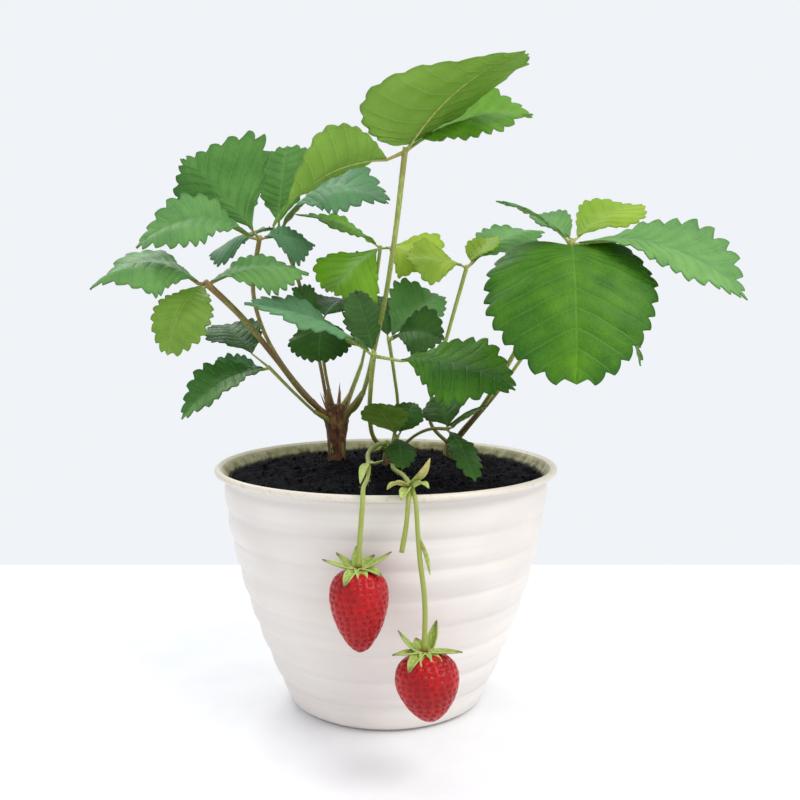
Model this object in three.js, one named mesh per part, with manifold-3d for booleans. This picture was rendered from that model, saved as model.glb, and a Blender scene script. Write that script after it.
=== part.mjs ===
// A strawberry plant in a ribbed plastic pot. Fourteen compound leaves, each a stalk with three
// toothed leaflets, grow from three short crowns in the potting soil. A fruiting stem leans over
// the front of the rim and carries two ripe berries under their calyxes. The pot stands on its
// flat floor with its axis on Z. +X is the plant's right and -Y its front. All sizes are in mm.
import * as THREE from 'three';
import { mergeVertices } from 'three/addons/utils/BufferGeometryUtils.js';
import Module from 'manifold-3d';

const wasm = await Module();
wasm.setup();

// Pot: a thin flared shell with eight rounded ribs, a rolled lip and four drain holes.
const GAP = 0.3;
const POT_HEIGHT = 127;
const RIM_RADIUS = 90;
const WALL_TOP_RADIUS = 84.8;
const BASE_RADIUS = 50;
const FLARE = 1.7;
const LIP_HEIGHT = 3.4;
const WALL = 1.8;
const FLOOR = 2.2;
const RIB_COUNT = 8;
const RIB_PITCH = 15;
const RIB_DEPTH = 1.3;
const POT_SIDES = 36;
const DRAIN_COUNT = 4;
const DRAIN_RADIUS = 5;
const DRAIN_CIRCLE = 30;

// Soil: a lumpy surface a little below the rim.
const SOIL_LEVEL = 120;
const SOIL_RINGS = [81, 66, 48, 30, 14];
const SOIL_BOTTOM_LEVELS = [FLOOR, 30, 60, 90];

// Leaflet outlines. Width and length each follow a power: a small length power puts the widest
// place near the tip. A notch draws the foot in beside the midrib, as on a heart.
const BLADE_THICKNESS = 0.8;
const LARGE_LEAFLET = 55;
const OVAL = { widthPower: 0.7, lengthPower: 0.8, notch: 0 };
const BLUNT = { widthPower: 0.55, lengthPower: 0.65, notch: 0 };
const HEART = { widthPower: 0.45, lengthPower: 1.4, notch: 0.14 };
const FAN = { widthPower: 0.75, lengthPower: 0.95, notch: 0 };
const NOTCH_RISE = 0.6;
const NOTCH_FALL = 4;
const NOTCH_PEAK = 0.168;
// The short stem that joins a leaflet to the stalk's end, unless the leaflet states its own.
const FOOT = 3;
// Its half width, and how far below the stalk's end it starts, as shares of the stalk's radius.
const STEM_SHARE = 0.7;
const HUB_DEPTH = 1.5;
const VEIN_SLANT = 0.55;
const PLAIN_SHARE = 0.2;
const TIP_SHARE = 0.04;
const FIRST_VEIN = 0.03;
const TOOTH_DEPTH = 0.055;
const TOOTH_LEAN = 0.7;
const FIRST_TOOTH = 0.45;
const TOOTH_GROWTH = 1.5;
const TIP_TOOTH = 0.6;

// Stems: the length of one straight piece, and the room left round a stem or a crown.
const STEM_STEP = 15;
const STEM_ROOM = 1.3 * GAP;
const CROWN_ROOM = 2 * GAP;

// Crowns: the short woody stumps that all the stalks leave, [radius, height] up each side.
const CROWN_SIDES = 11;
const CROWNS = {
  crown_main: {
    at: [-29, 43],
    side: [[5.4, 102], [5.2, 121], [5.2, 128], [6.2, 136], [7.6, 143], [8.2, 147], [5, 153]],
  },
  crown_branch: { at: [2, 32], side: [[4, 104], [4.8, 121], [4.4, 127], [2.6, 131]] },
  crown_side: { at: [38, 60], side: [[4, 104], [5.4, 121], [4.8, 127], [2.8, 131]] },
};
const CROWN_DOME = 1.5;
// Dry stipules at the top of the main crown: heading in degrees, lean in degrees, length.
const STIPULE_RADIUS = 2.1;
const STIPULE_CIRCLE = 3;
const STIPULE_LEVEL = 144;
const STIPULES = [
  [-20, 16, 24], [35, 22, 20], [80, 12, 22], [140, 26, 17], [200, 20, 18], [-75, 24, 21], [-45, 38, 15],
];

// Leaves, from the crown outwards. The stalk's route ends where the leaflets meet. Each leaflet
// leaves that end at a heading (turn, 0 is +X and 90 is +Y) and a rise, in degrees. Its midrib
// arches up from a straight line by arch. Each half has a width, the angle that it is folded up
// and the angle that it is swept towards the tip. Left and right are as seen from the stalk.
const LEAVES = {
  leaf_tall: {
    crown: 'crown_main', radius: 1.5, teeth: 10,
    stalk: [[-18, 34, 152], [-4, 6, 197], [4, -20, 239], [10, -28, 287]],
    leaflets: [
      { turn: -35, rise: 30, length: 70, arch: 6, left: [36, 10, 0], right: [46, 22, -50] },
      { turn: -153, rise: -30, length: 66, arch: 8, left: [26, 50, -30], right: [18, -20, -35], foot: 12 },
      { turn: 30, rise: 16, length: 74, arch: 6, left: [28, 35, 35], right: [32, -20, -30], form: BLUNT },
    ],
  },
  leaf_right_front: {
    crown: 'crown_side', radius: 1.5, teeth: 11,
    stalk: [[42, 46, 136], [52, 28, 152], [66, -6, 184], [80, -34, 220], [89, -46, 241]],
    leaflets: [
      { turn: -95, rise: -60, length: 70, arch: 10, left: [36, -12, 0], right: [40, -12, 0], form: HEART },
      { turn: -6, rise: -18, length: 80, arch: 10, left: [35, 30, 10], right: [22, -25, 0], form: BLUNT },
      { turn: 160, rise: 28, length: 38, arch: 3, left: [12, 0, 0], right: [14, -5, 0] },
    ],
  },
  leaf_right_back: {
    crown: 'crown_side', radius: 1.2, teeth: 8,
    stalk: [[48, 52, 140], [66, 36, 166], [88, 18, 206], [99, 10, 245]],
    leaflets: [
      { turn: 27, rise: 25, length: 42, arch: 2, left: [22, 20, 5], right: [20, -15, -5], form: BLUNT },
      { turn: -6, rise: -61, length: 72, arch: 5, left: [14, 10, 0], right: [12, 10, 0] },
      { turn: 127, rise: 25, length: 30, arch: 2, left: [13, 0, -15], right: [13, 20, 10] },
    ],
  },
  leaf_yellow: {
    crown: 'crown_side', radius: 1.2, teeth: 8,
    stalk: [[25, 48, 142], [26, 46, 160], [34, 42, 192], [45, 40, 232]],
    leaflets: [
      { turn: -173, rise: 5, length: 30, arch: 1, left: [20, -40, 0], right: [23, 30, 0], form: BLUNT },
      { turn: 15, rise: 42, length: 20, arch: 1, left: [12, 30, -15], right: [13, -10, 5] },
      { turn: 26, rise: 22, length: 50, arch: 5, left: [18, 20, -10], right: [13, -30, 0] },
    ],
  },
  leaf_bright: {
    crown: 'crown_main', radius: 1.1, teeth: 8,
    stalk: [[-18, 60, 166], [-10, 64, 202], [-4, 66, 244]],
    leaflets: [
      { turn: -157, rise: 18, length: 50, arch: 3, left: [15, -20, -5], right: [22, 20, -30] },
      { turn: -143, rise: -38, length: 40, arch: 2, left: [26, -35, 15], right: [22, 25, 0], form: BLUNT },
      { turn: -15, rise: -21, length: 30, arch: 3, left: [27, 30, 0], right: [20, -45, 0], form: BLUNT },
    ],
  },
  leaf_mid_right: {
    crown: 'crown_branch', radius: 1.1, teeth: 8,
    stalk: [[6, 38, 150], [4, 30, 172], [1, 22, 192]],
    leaflets: [
      { turn: 39, rise: 30, length: 41, arch: 3, left: [22, 35, 10], right: [13, -30, -5], form: BLUNT },
      { turn: -35, rise: 0, length: 32, arch: 4, left: [13, 65, -15], right: [19, -33, 15], form: BLUNT },
      { turn: 101, rise: 33, length: 38, arch: 2, left: [11, 10, 0], right: [11, -5, 0] },
    ],
  },
  leaf_front: {
    crown: 'crown_branch', radius: 1.4, teeth: 9,
    stalk: [[-7, 20, 137], [-9, 10, 150], [-8, -3, 168], [-6, -14, 186]],
    leaflets: [
      { turn: -149, rise: 20, length: 70, arch: 4, left: [28, -15, 15], right: [31, 20, -15] },
      { turn: 105, rise: 36, length: 50, arch: 2, left: [17, 20, -40], right: [10, -10, 20] },
      { turn: -29, rise: -11, length: 62, arch: 5, left: [24, 25, -15], right: [22, -45, 0], foot: 16 },
    ],
  },
  leaf_left: {
    crown: 'crown_main', radius: 1.8, teeth: 9,
    stalk: [[-36, 38, 149], [-46, 28, 160], [-60, 12, 182], [-75, -4, 204], [-91, -18, 222]],
    leaflets: [
      { turn: -172, rise: -3, length: 52, arch: 11, left: [26, -40, -15], right: [34, 12, 0] },
      { turn: 20, rise: 5, length: 50, arch: 5, left: [13, 25, -8], right: [18, -38, 0] },
      { turn: -111, rise: -45, length: 45, arch: 6, left: [18, 0, 5], right: [12, 15, -20], form: BLUNT },
    ],
  },
  leaf_upper_left: {
    crown: 'crown_main', radius: 1.3, teeth: 9,
    stalk: [[-38, 46, 150], [-57, 36, 174], [-68, 27, 196], [-72, 18, 218], [-66, 4, 246]],
    leaflets: [
      {
        turn: 166, rise: 44, length: 53, arch: 1, left: [22, -75, 15], right: [34, 72, 8], foot: 5, form: FAN,
      },
      { turn: -147, rise: -6, length: 60, arch: 11, left: [24, -25, 10], right: [18, 45, -35], foot: 5 },
      { turn: 45, rise: -5, length: 34, arch: 2, left: [9, 40, 0], right: [15, -60, -10] },
    ],
  },
  leaf_upper_mid: {
    crown: 'crown_main', radius: 1.2, teeth: 9,
    stalk: [[-34, 54, 150], [-40, 50, 182], [-49, 42, 220], [-60, 34, 253]],
    leaflets: [
      { turn: -15, rise: 11, length: 60, arch: 14, left: [30, 28, -10], right: [26, -33, 8] },
      { turn: 84, rise: 61, length: 50, arch: 2, left: [14, 0, -10], right: [17, 0, 5], form: BLUNT },
      { turn: 148, rise: -17, length: 45, arch: 3, left: [22, -40, 5], right: [24, 15, 5] },
    ],
  },
  leaf_low_left: {
    crown: 'crown_main', radius: 1, teeth: 8,
    stalk: [[-37, 34, 147], [-50, 22, 161], [-64, 14, 177]],
    leaflets: [
      { turn: -148, rise: -27, length: 51, arch: 6, left: [16, -5, 0], right: [13, 40, -20] },
      { turn: 165, rise: -15, length: 43, arch: 3, left: [10, -30, 0], right: [16, 30, 0] },
      { turn: 128, rise: 21, length: 40, arch: 2, left: [15, -10, 5], right: [15, 25, 0], foot: 18 },
    ],
  },
  leaf_low_mid: {
    crown: 'crown_main', radius: 1.1, teeth: 9,
    stalk: [[-32, 44, 156], [-36, 39, 180], [-36, 34, 203]],
    leaflets: [
      { turn: -90, rise: -40, length: 32, arch: 4, left: [16, -8, 0], right: [16, -8, 0], form: BLUNT },
      { turn: 67, rise: 20, length: 26, arch: 2, left: [13, 15, 0], right: [12, -20, 0] },
      { turn: -160, rise: 43, length: 20, arch: 1, left: [10, -65, 0], right: [8, 65, 0] },
    ],
  },
  leaf_young: {
    crown: 'crown_branch', radius: 1, teeth: 6,
    stalk: [[4, 20, 135], [6, 8, 139], [6, -2, 141]],
    leaflets: [
      { turn: -133, rise: 48, length: 22, arch: 1, left: [15, 10, 0], right: [14, -15, -5], form: BLUNT },
      { turn: 53, rise: 48, length: 19, arch: 1, left: [9, 20, 5], right: [10, -10, -10] },
      { turn: -84, rise: -24, length: 27, arch: 2, left: [7, 0, 0], right: [7, 0, 0] },
    ],
  },
  leaf_low_right: {
    crown: 'crown_branch', radius: 1, teeth: 6,
    stalk: [[10, 26, 133], [16, 18, 139], [24, 6, 144], [33, -2, 145]],
    leaflets: [
      { turn: -77, rise: -22, length: 47, arch: 3, left: [6, -5, 0], right: [6, 5, 0] },
      { turn: 103, rise: 33, length: 24, arch: 1, left: [11, -20, -10], right: [12, 25, 10] },
      { turn: -37, rise: 33, length: 21, arch: 1, left: [13, 5, 5], right: [13, -10, -15] },
    ],
  },
};

// Berries: crown of the fruit, tip, greatest radius, and how far the shoulders stand out.
const BERRIES = {
  left: { top: [-11, -98, 96], tip: [-10, -99, 59], radius: 13, shoulder: 0.6 },
  right: { top: [18, -103, 60], tip: [21, -105, 30], radius: 14, shoulder: 0.68 },
};
const BERRY_FULLNESS = 0.55;
const SEED_ROWS = 6;
const SEEDS_ROUND = 12;
const DIMPLE = 0.7;

// Fruiting stem: it leaves the branch crown and forks, both arms cross the rim and end just over
// their berries, and a cut stub hangs from the right arm.
const STEM_RADIUS = 1.15;
const KNOT_RADIUS = 2.3;
const FORK = [0, 14, 135];
const STUB_KNOT = [12, -88, 131];
const overBerry = ([x, y, z]) => [x, y, z + BLADE_THICKNESS + 2 * GAP];
const STEMS = {
  foot: [[2, 32, 127], [1, 24, 133], FORK],
  left: [FORK, [-5, 1, 136], [-9, -13, 134], [-8, -40, 131], [-8, -66, 130], [-9, -88, 130],
    [-9, -97, 126], [-10, -98, 112], overBerry(BERRIES.left.top)],
  right: [FORK, [3, 0, 130], [4, -30, 129], [9, -62, 131], STUB_KNOT, [14, -98, 127],
    [15, -101, 113], [16, -102, 101], [18, -103, 84], overBerry(BERRIES.right.top)],
  stub: [STUB_KNOT, [11, -97, 127], [10, -99, 116], [8, -99, 104]],
};
// Bracts at the fork and along the arms: base, middle, tip and half width.
const BRACTS = [
  [[12, -89, 132], [18, -94, 138], [20.5, -90, 144], 3.4],
  [[11, -90, 131.5], [5, -94, 133.5], [1.5, -95, 131], 3],
  [[12.5, -90, 131], [17, -95, 134], [20, -97, 132], 2.4],
  [[11, -91, 131], [9.5, -97, 131], [7.8, -101, 127.5], 2.4],
  [[-8.2, -30, 131.5], [-10, -52, 133], [-11, -74, 129.5], 2],
  [[-8.2, -26, 132], [-5, -38, 132.5], [-1, -42, 135], 1.6],
  [[15.5, -101.5, 111], [18.5, -102.5, 103], [20.4, -103, 95], 1.5],
  [[-0.5, 14, 135], [-6, 10, 131], [-10, 8, 133], 2.4],
];

// Sepals of each calyx: heading, rise at the foot, rise at the tip (degrees), length.
const SEPAL_WIDTH = 2.3;
const CALYX_FOOT = 3.4;
const SEPALS = {
  left: [[-170, 10, 25, 17], [-118, 5, -50, 14], [-75, 8, -62, 13], [-30, 12, -25, 13], [8, 18, 36, 17],
    [50, 20, 30, 12], [95, 35, 75, 13], [145, 12, 38, 14]],
  right: [[172, 24, 58, 16], [-165, 2, -2, 15], [-125, 6, -50, 15], [-88, 8, -70, 16], [-52, 6, -60, 15],
    [-8, 4, 2, 17], [55, 40, 72, 17], [110, 14, 20, 12]],
};

const COLOURS = {
  pot: 0xe0d8d2,
  soil: 0x1c1a1b,
  crown: 0x6a4526,
  leaf_tall: 0x86ad4c,
  leaf_right_front: 0x3f7f35,
  leaf_right_back: 0x6d9c4d,
  leaf_yellow: 0x93b832,
  leaf_bright: 0x84b83e,
  leaf_mid_right: 0x568f52,
  leaf_front: 0x4a8242,
  leaf_left: 0x62934f,
  leaf_upper_left: 0x548a55,
  leaf_upper_mid: 0x5d9264,
  leaf_low_left: 0x557f3d,
  leaf_low_mid: 0x31601f,
  leaf_young: 0x4c7a2a,
  leaf_low_right: 0x466f2b,
  truss: 0xa9bb4f,
  calyx: 0x93ab3f,
  berry: 0xb8282a,
};

const plant = new THREE.Group();
const vector = (p) => new THREE.Vector3(...p);

// Turns a closed geometry into a solid, and back again for display.
function solidOf(geometry) {
  const bare = geometry.clone();
  bare.deleteAttribute('normal');
  bare.deleteAttribute('uv');
  const merged = mergeVertices(bare);
  const vertProperties = new Float32Array(merged.attributes.position.array);
  const triVerts = new Uint32Array(merged.index.array);
  return new wasm.Manifold(new wasm.Mesh({ numProp: 3, vertProperties, triVerts }));
}

function geometryOf(solid) {
  const { vertProperties, triVerts, numProp } = solid.getMesh();
  const count = vertProperties.length / numProp;
  const positions = new Float32Array(count * 3);
  for (let i = 0; i < count; i += 1) {
    for (let axis = 0; axis < 3; axis += 1) {
      positions[3 * i + axis] = vertProperties[numProp * i + axis];
    }
  }
  const geometry = new THREE.BufferGeometry();
  geometry.setAttribute('position', new THREE.BufferAttribute(positions, 3));
  geometry.setIndex(new THREE.BufferAttribute(new Uint32Array(triVerts), 1));
  geometry.computeVertexNormals();
  return geometry;
}

function largestBody(solid) {
  return solid.decompose().reduce((best, body) => (body.volume() > best.volume() ? body : best));
}

function unite(solids) {
  return solids.reduce((whole, piece) => whole.add(piece));
}

function addPart(name, solid, colour, roughness = 0.6) {
  const material = new THREE.MeshStandardMaterial({ color: colour, roughness, metalness: 0 });
  const mesh = new THREE.Mesh(geometryOf(solid), material);
  mesh.name = name;
  plant.add(mesh);
}

// A turned solid about a vertical axis, from [radius, height] points that start and end on it.
function turned(profile, sides, at = [0, 0]) {
  const points = profile.map(([r, z]) => new THREE.Vector2(r, z));
  const geometry = new THREE.LatheGeometry(points, sides);
  geometry.rotateX(Math.PI / 2);
  geometry.translate(at[0], at[1], 0);
  return geometry;
}

// A round stem along a smooth route.
function stem(route, radius, sides = 5) {
  const path = new THREE.CatmullRomCurve3(route.map(vector));
  const section = new THREE.Shape(
    new THREE.EllipseCurve(0, 0, radius, radius).getPoints(sides).slice(0, sides),
  );
  const steps = Math.max(2, Math.round(path.getLength() / STEM_STEP));
  return solidOf(new THREE.ExtrudeGeometry(section, { steps, extrudePath: path, bevelEnabled: false }));
}

// Gives a thin open surface its thickness. Points listed as sharp stay single, as a tooth's tip
// does. The rim is the surface's edge, in the order that its triangles run.
function thicken(points, triangles, rim, sharp, thickness) {
  const surface = new THREE.BufferGeometry().setFromPoints(points);
  surface.setIndex(triangles);
  surface.computeVertexNormals();
  const normals = surface.attributes.normal;
  const both = [1, -1].flatMap((face) => points.map((point, i) => {
    const half = sharp.has(i) ? 0 : (face * thickness) / 2;
    return new THREE.Vector3().fromBufferAttribute(normals, i).multiplyScalar(half).add(point);
  }));
  const under = (i) => (sharp.has(i) ? i : i + points.length);
  const faces = [];
  for (let i = 0; i < triangles.length; i += 3) {
    const [a, b, c] = triangles.slice(i, i + 3);
    faces.push(a, b, c, under(a), under(c), under(b));
  }
  rim.forEach((a, i) => {
    const b = rim[(i + 1) % rim.length];
    if (!sharp.has(a)) {
      faces.push(a, under(a), b);
    }
    if (!sharp.has(b)) {
      faces.push(b, under(a), under(b));
    }
  });
  const geometry = new THREE.BufferGeometry().setFromPoints(both);
  geometry.setIndex(faces);
  return solidOf(geometry);
}

// Half of a leaflet's outline without its teeth, one unit long. x is the distance from the midrib.
class LeafletEdge extends THREE.Curve {
  constructor(halfWidth, form) {
    super();
    this.halfWidth = halfWidth;
    this.form = form;
  }

  getPoint(t) {
    const { widthPower, lengthPower, notch } = this.form;
    const x = this.halfWidth * Math.sin(Math.PI * t) ** widthPower;
    const hollow = (notch * t ** NOTCH_RISE * (1 - t) ** NOTCH_FALL) / NOTCH_PEAK;
    return new THREE.Vector2(x, t ** lengthPower - hollow);
  }

  getOutward(u) {
    const along = this.getTangentAt(u);
    return new THREE.Vector2(along.y, -along.x);
  }
}

// A leaflet's curved surface: an arched midrib, and two sides that bend away from it.
class LeafletSurface {
  constructor(end, { turn, rise, length, arch, left, right, foot = FOOT }) {
    const [heading, slope] = [turn, rise].map(THREE.MathUtils.degToRad);
    const along = new THREE.Vector3(Math.cos(heading), Math.sin(heading), 0)
      .multiplyScalar(Math.cos(slope)).setZ(Math.sin(slope));
    this.out = new THREE.Vector3(Math.sin(heading), -Math.cos(heading), 0);
    const up = this.out.clone().cross(along);
    this.base = end.clone().addScaledVector(along, foot);
    const control = this.base.clone().addScaledVector(along, length / 2).addScaledVector(up, 2 * arch);
    const tip = this.base.clone().addScaledVector(along, length);
    this.midrib = new THREE.QuadraticBezierCurve3(this.base, control, tip);
    this.length = this.midrib.getLength();
    const split = ([width, folded, swept], sign) => {
      const [fold, sweep] = [folded, swept].map(THREE.MathUtils.degToRad);
      const level = width * Math.cos(sweep);
      return {
        out: sign * level * Math.cos(fold), up: level * Math.sin(fold), along: width * Math.sin(sweep),
      };
    };
    this.sides = { left: split(left, -1), right: split(right, 1) };
    this.halfWidth = (left[0] + right[0]) / 2 / this.length;
  }

  // x is the distance from the midrib, y the place along it, both in leaflet lengths.
  getPoint(side, x, y) {
    const centre = this.midrib.getPoint(y);
    const along = this.midrib.getTangent(Math.min(Math.max(y, 0), 1));
    const up = this.out.clone().cross(along);
    const share = x / this.halfWidth;
    const { out: outward, up: upward, along: forward } = this.sides[side];
    return centre.addScaledVector(this.out, outward * share)
      .addScaledVector(up, upward * share * share)
      .addScaledVector(along, forward * share);
  }
}

// A leaflet as a solid, with its short stem as a narrow strip from the hub. Its edge is split at
// the notches, and each tooth is one sharp point. A large leaflet has one more line of points
// halfway out, so that its sides bend.
function leaflet(shape, teeth, end, hub, stemRadius) {
  const surface = new LeafletSurface(end, shape);
  const edge = new LeafletEdge(surface.halfWidth, shape.form ?? OVAL);
  const large = surface.length > LARGE_LEAFLET;
  const toothedShare = 1 - PLAIN_SHARE - TIP_SHARE;
  const notches = [PLAIN_SHARE / 2];
  for (let i = 0; i <= teeth; i += 1) {
    notches.push(PLAIN_SHARE + (toothedShare * i) / teeth);
  }
  const points = [];
  const triangles = [];
  const sharp = new Set();
  const add = (point) => points.push(point) - 1;
  const veinRoot = (x, y, i) => Math.max(FIRST_VEIN * (i + 1), y - VEIN_SLANT * x);
  const ribs = notches.map((u, i) => {
    const { x, y } = edge.getPointAt(u);
    return add(surface.getPoint('left', 0, veinRoot(x, y, i)));
  });
  const tip = add(surface.getPoint('left', 0, 1 + TIP_TOOTH * TOOTH_DEPTH));
  sharp.add(tip);
  const stemShare = stemRadius / surface.length;
  const rims = {};
  const feet = {};
  for (const side of ['left', 'right']) {
    const face = (a, b, c) => triangles.push(...(side === 'right' ? [a, b, c] : [a, c, b]));
    const start = surface.getPoint(side, stemShare, 0);
    const foot = add(start);
    feet[side] = { foot, hub: add(start.clone().add(hub).sub(surface.base)) };
    const rim = [foot];
    let inner = ribs[0];
    let outer = foot;
    let rib = ribs[0];
    notches.forEach((u, i) => {
      const { x, y } = edge.getPointAt(u);
      const nextOuter = add(surface.getPoint(side, x, y));
      const middleY = (y + veinRoot(x, y, i)) / 2;
      const nextInner = large ? add(surface.getPoint(side, x / 2, middleY)) : ribs[i];
      face(inner, outer, nextOuter);
      if (inner !== nextInner) {
        face(inner, nextOuter, nextInner);
      }
      if (large && i > 0) {
        face(rib, inner, nextInner);
        face(rib, nextInner, ribs[i]);
      }
      if (i > 1) {
        const before = notches[i - 1];
        const at = before + TOOTH_LEAN * (u - before);
        const growth = Math.min(1, FIRST_TOOTH + TOOTH_GROWTH * (at - PLAIN_SHARE));
        const point = edge.getPointAt(at).addScaledVector(edge.getOutward(at), TOOTH_DEPTH * growth);
        const tooth = add(surface.getPoint(side, point.x, point.y));
        sharp.add(tooth);
        face(outer, tooth, nextOuter);
        rim.push(tooth);
      }
      rim.push(nextOuter);
      [inner, outer, rib] = [nextInner, nextOuter, ribs[i]];
    });
    face(inner, outer, tip);
    if (large) {
      face(rib, inner, tip);
    }
    rims[side] = rim;
  }
  const { left, right } = feet;
  triangles.push(left.foot, right.foot, ribs[0]);
  triangles.push(left.hub, right.hub, right.foot, left.hub, right.foot, left.foot);
  const rim = [right.hub, ...rims.right, tip, ...rims.left.reverse(), left.hub];
  return thicken(points, triangles, rim, sharp, BLADE_THICKNESS);
}

const potRadius = (z) => {
  const fall = Math.max(0, 1 - z / (POT_HEIGHT - LIP_HEIGHT));
  return WALL_TOP_RADIUS - (WALL_TOP_RADIUS - BASE_RADIUS) * fall ** FLARE;
};

function pot() {
  const outside = [[0, 0], [BASE_RADIUS - 2.5, 0], [BASE_RADIUS - 0.4, 1.8]];
  for (let rib = 0; rib < RIB_COUNT; rib += 1) {
    for (const [share, swell] of [[0.45, 1], [1, 0]]) {
      const z = (rib + share) * RIB_PITCH;
      outside.push([potRadius(z) + RIB_DEPTH * (swell - 0.5), z]);
    }
  }
  const under = POT_HEIGHT - LIP_HEIGHT;
  const lip = [
    [WALL_TOP_RADIUS, under - 0.6], [RIM_RADIUS - 1, under], [RIM_RADIUS, under + 1.2],
    [RIM_RADIUS - 0.6, POT_HEIGHT - 0.5], [RIM_RADIUS - 1.8, POT_HEIGHT],
    [RIM_RADIUS - 3.8, POT_HEIGHT - 1.2], [WALL_TOP_RADIUS - WALL, under - 1],
  ];
  const inside = [...SOIL_BOTTOM_LEVELS].reverse().map((z) => [potRadius(z) - WALL - RIB_DEPTH / 2, z]);
  const shell = solidOf(turned([...outside, ...lip, ...inside, [0, FLOOR]], POT_SIDES));
  const drains = [];
  for (let i = 0; i < DRAIN_COUNT; i += 1) {
    const angle = ((i + 0.5) / DRAIN_COUNT) * 2 * Math.PI;
    const hole = new THREE.CylinderGeometry(DRAIN_RADIUS, DRAIN_RADIUS, 4 * FLOOR, 14);
    hole.rotateX(Math.PI / 2);
    hole.translate(DRAIN_CIRCLE * Math.cos(angle), DRAIN_CIRCLE * Math.sin(angle), 0);
    drains.push(solidOf(hole));
  }
  return shell.subtract(unite(drains));
}

// Height of the soil: low lumps, and a slight mound round the main crown.
function soilHeight(x, y) {
  const lumps = 0.8 * Math.sin(0.17 * x + 1.1) * Math.cos(0.21 * y + 0.4)
    + 0.6 * Math.sin(0.33 * x - 0.27 * y) + 0.4 * Math.cos(0.51 * y + 0.2 * x);
  const [mx, my] = CROWNS.crown_main.at;
  const mound = 1.6 * Math.exp(-((x - mx) ** 2 + (y - my) ** 2) / 300);
  return SOIL_LEVEL + lumps + mound;
}

function soil() {
  const side = SOIL_BOTTOM_LEVELS.map((z) => [potRadius(z) - WALL - RIB_DEPTH / 2 - GAP, z + GAP]);
  const top = SOIL_RINGS.map((r) => [r, SOIL_LEVEL]);
  const geometry = turned([[0, FLOOR + GAP], ...side, ...top, [0, SOIL_LEVEL]], POT_SIDES);
  const position = geometry.attributes.position;
  for (let i = 0; i < position.count; i += 1) {
    if (position.getZ(i) > SOIL_LEVEL - 1) {
      position.setZ(i, soilHeight(position.getX(i), position.getY(i)));
    }
  }
  return solidOf(geometry);
}

function crown({ at, side }, swell = 0) {
  const bottom = side[0][1] - swell;
  const top = side[side.length - 1][1] + CROWN_DOME + swell;
  const outline = side.map(([r, z], i) => [r + swell, i === 0 ? bottom : z]);
  return solidOf(turned([[0, bottom], ...outline, [0, top]], CROWN_SIDES, at));
}

// Dry, pointed stipules round the top of the main crown.
function stipules() {
  const [x, y] = CROWNS.crown_main.at;
  return STIPULES.map(([heading, lean, length]) => {
    const spike = new THREE.ConeGeometry(STIPULE_RADIUS, length, 4);
    spike.translate(0, length / 2, 0);
    spike.rotateX(Math.PI / 2);
    spike.rotateY(THREE.MathUtils.degToRad(lean));
    spike.rotateZ(THREE.MathUtils.degToRad(heading));
    const turn = THREE.MathUtils.degToRad(heading);
    spike.translate(
      x + STIPULE_CIRCLE * Math.cos(turn), y + STIPULE_CIRCLE * Math.sin(turn), STIPULE_LEVEL,
    );
    return solidOf(spike);
  });
}

// The stalk of a leaf, from inside its crown to where the leaflets meet.
function stalk({ crown: home, stalk: route, radius }, swell = 0) {
  const { at, side } = CROWNS[home];
  const top = side[side.length - 1][1];
  const start = [...at, Math.min(route[0][2] - 5, top - 5)];
  return stem([start, ...route], radius + swell);
}

// A whole leaf. The leaflets' stems start a little below the end of the stalk, inside it.
function compoundLeaf(leaf) {
  const [end, before] = leaf.stalk.slice(-2).reverse().map(vector);
  const hub = before.sub(end).setLength(HUB_DEPTH * leaf.radius).add(end);
  const leaflets = leaf.leaflets.map((shape) => (
    leaflet(shape, leaf.teeth, end, hub, STEM_SHARE * leaf.radius)
  ));
  return unite([stalk(leaf), ...leaflets]);
}

// A small pointed bract, folded a little along its middle.
function bract([base, middle, tip, halfWidth]) {
  const [b, m, t] = [base, middle, tip].map(vector);
  const along = t.clone().sub(b).normalize();
  const side = along.clone().cross(new THREE.Vector3(0, 0.3, 1)).normalize();
  const half = side.clone().multiplyScalar(halfWidth);
  const foot = side.clone().multiplyScalar(halfWidth * 0.45);
  const points = [
    b, b.clone().sub(foot), b.clone().add(foot), m, m.clone().sub(half), m.clone().add(half), t,
  ];
  const triangles = [0, 3, 1, 1, 3, 4, 4, 3, 6, 0, 2, 3, 2, 5, 3, 5, 6, 3];
  return thicken(points, triangles, [2, 5, 6, 4, 1, 0], new Set([6]), BLADE_THICKNESS);
}

// The fruiting stem with its knots and bracts, clear of the bodies that it passes.
function truss(bodies) {
  const arms = Object.values(STEMS).map((route) => stem(route, STEM_RADIUS));
  const knots = [FORK, STUB_KNOT].map((at) => {
    const knot = new THREE.SphereGeometry(KNOT_RADIUS, 8, 6);
    knot.translate(...at);
    return solidOf(knot);
  });
  const whole = unite([...arms, ...knots, ...BRACTS.map(bract)]);
  return bodies.reduce((rest, body) => rest.subtract(body), whole);
}

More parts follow.
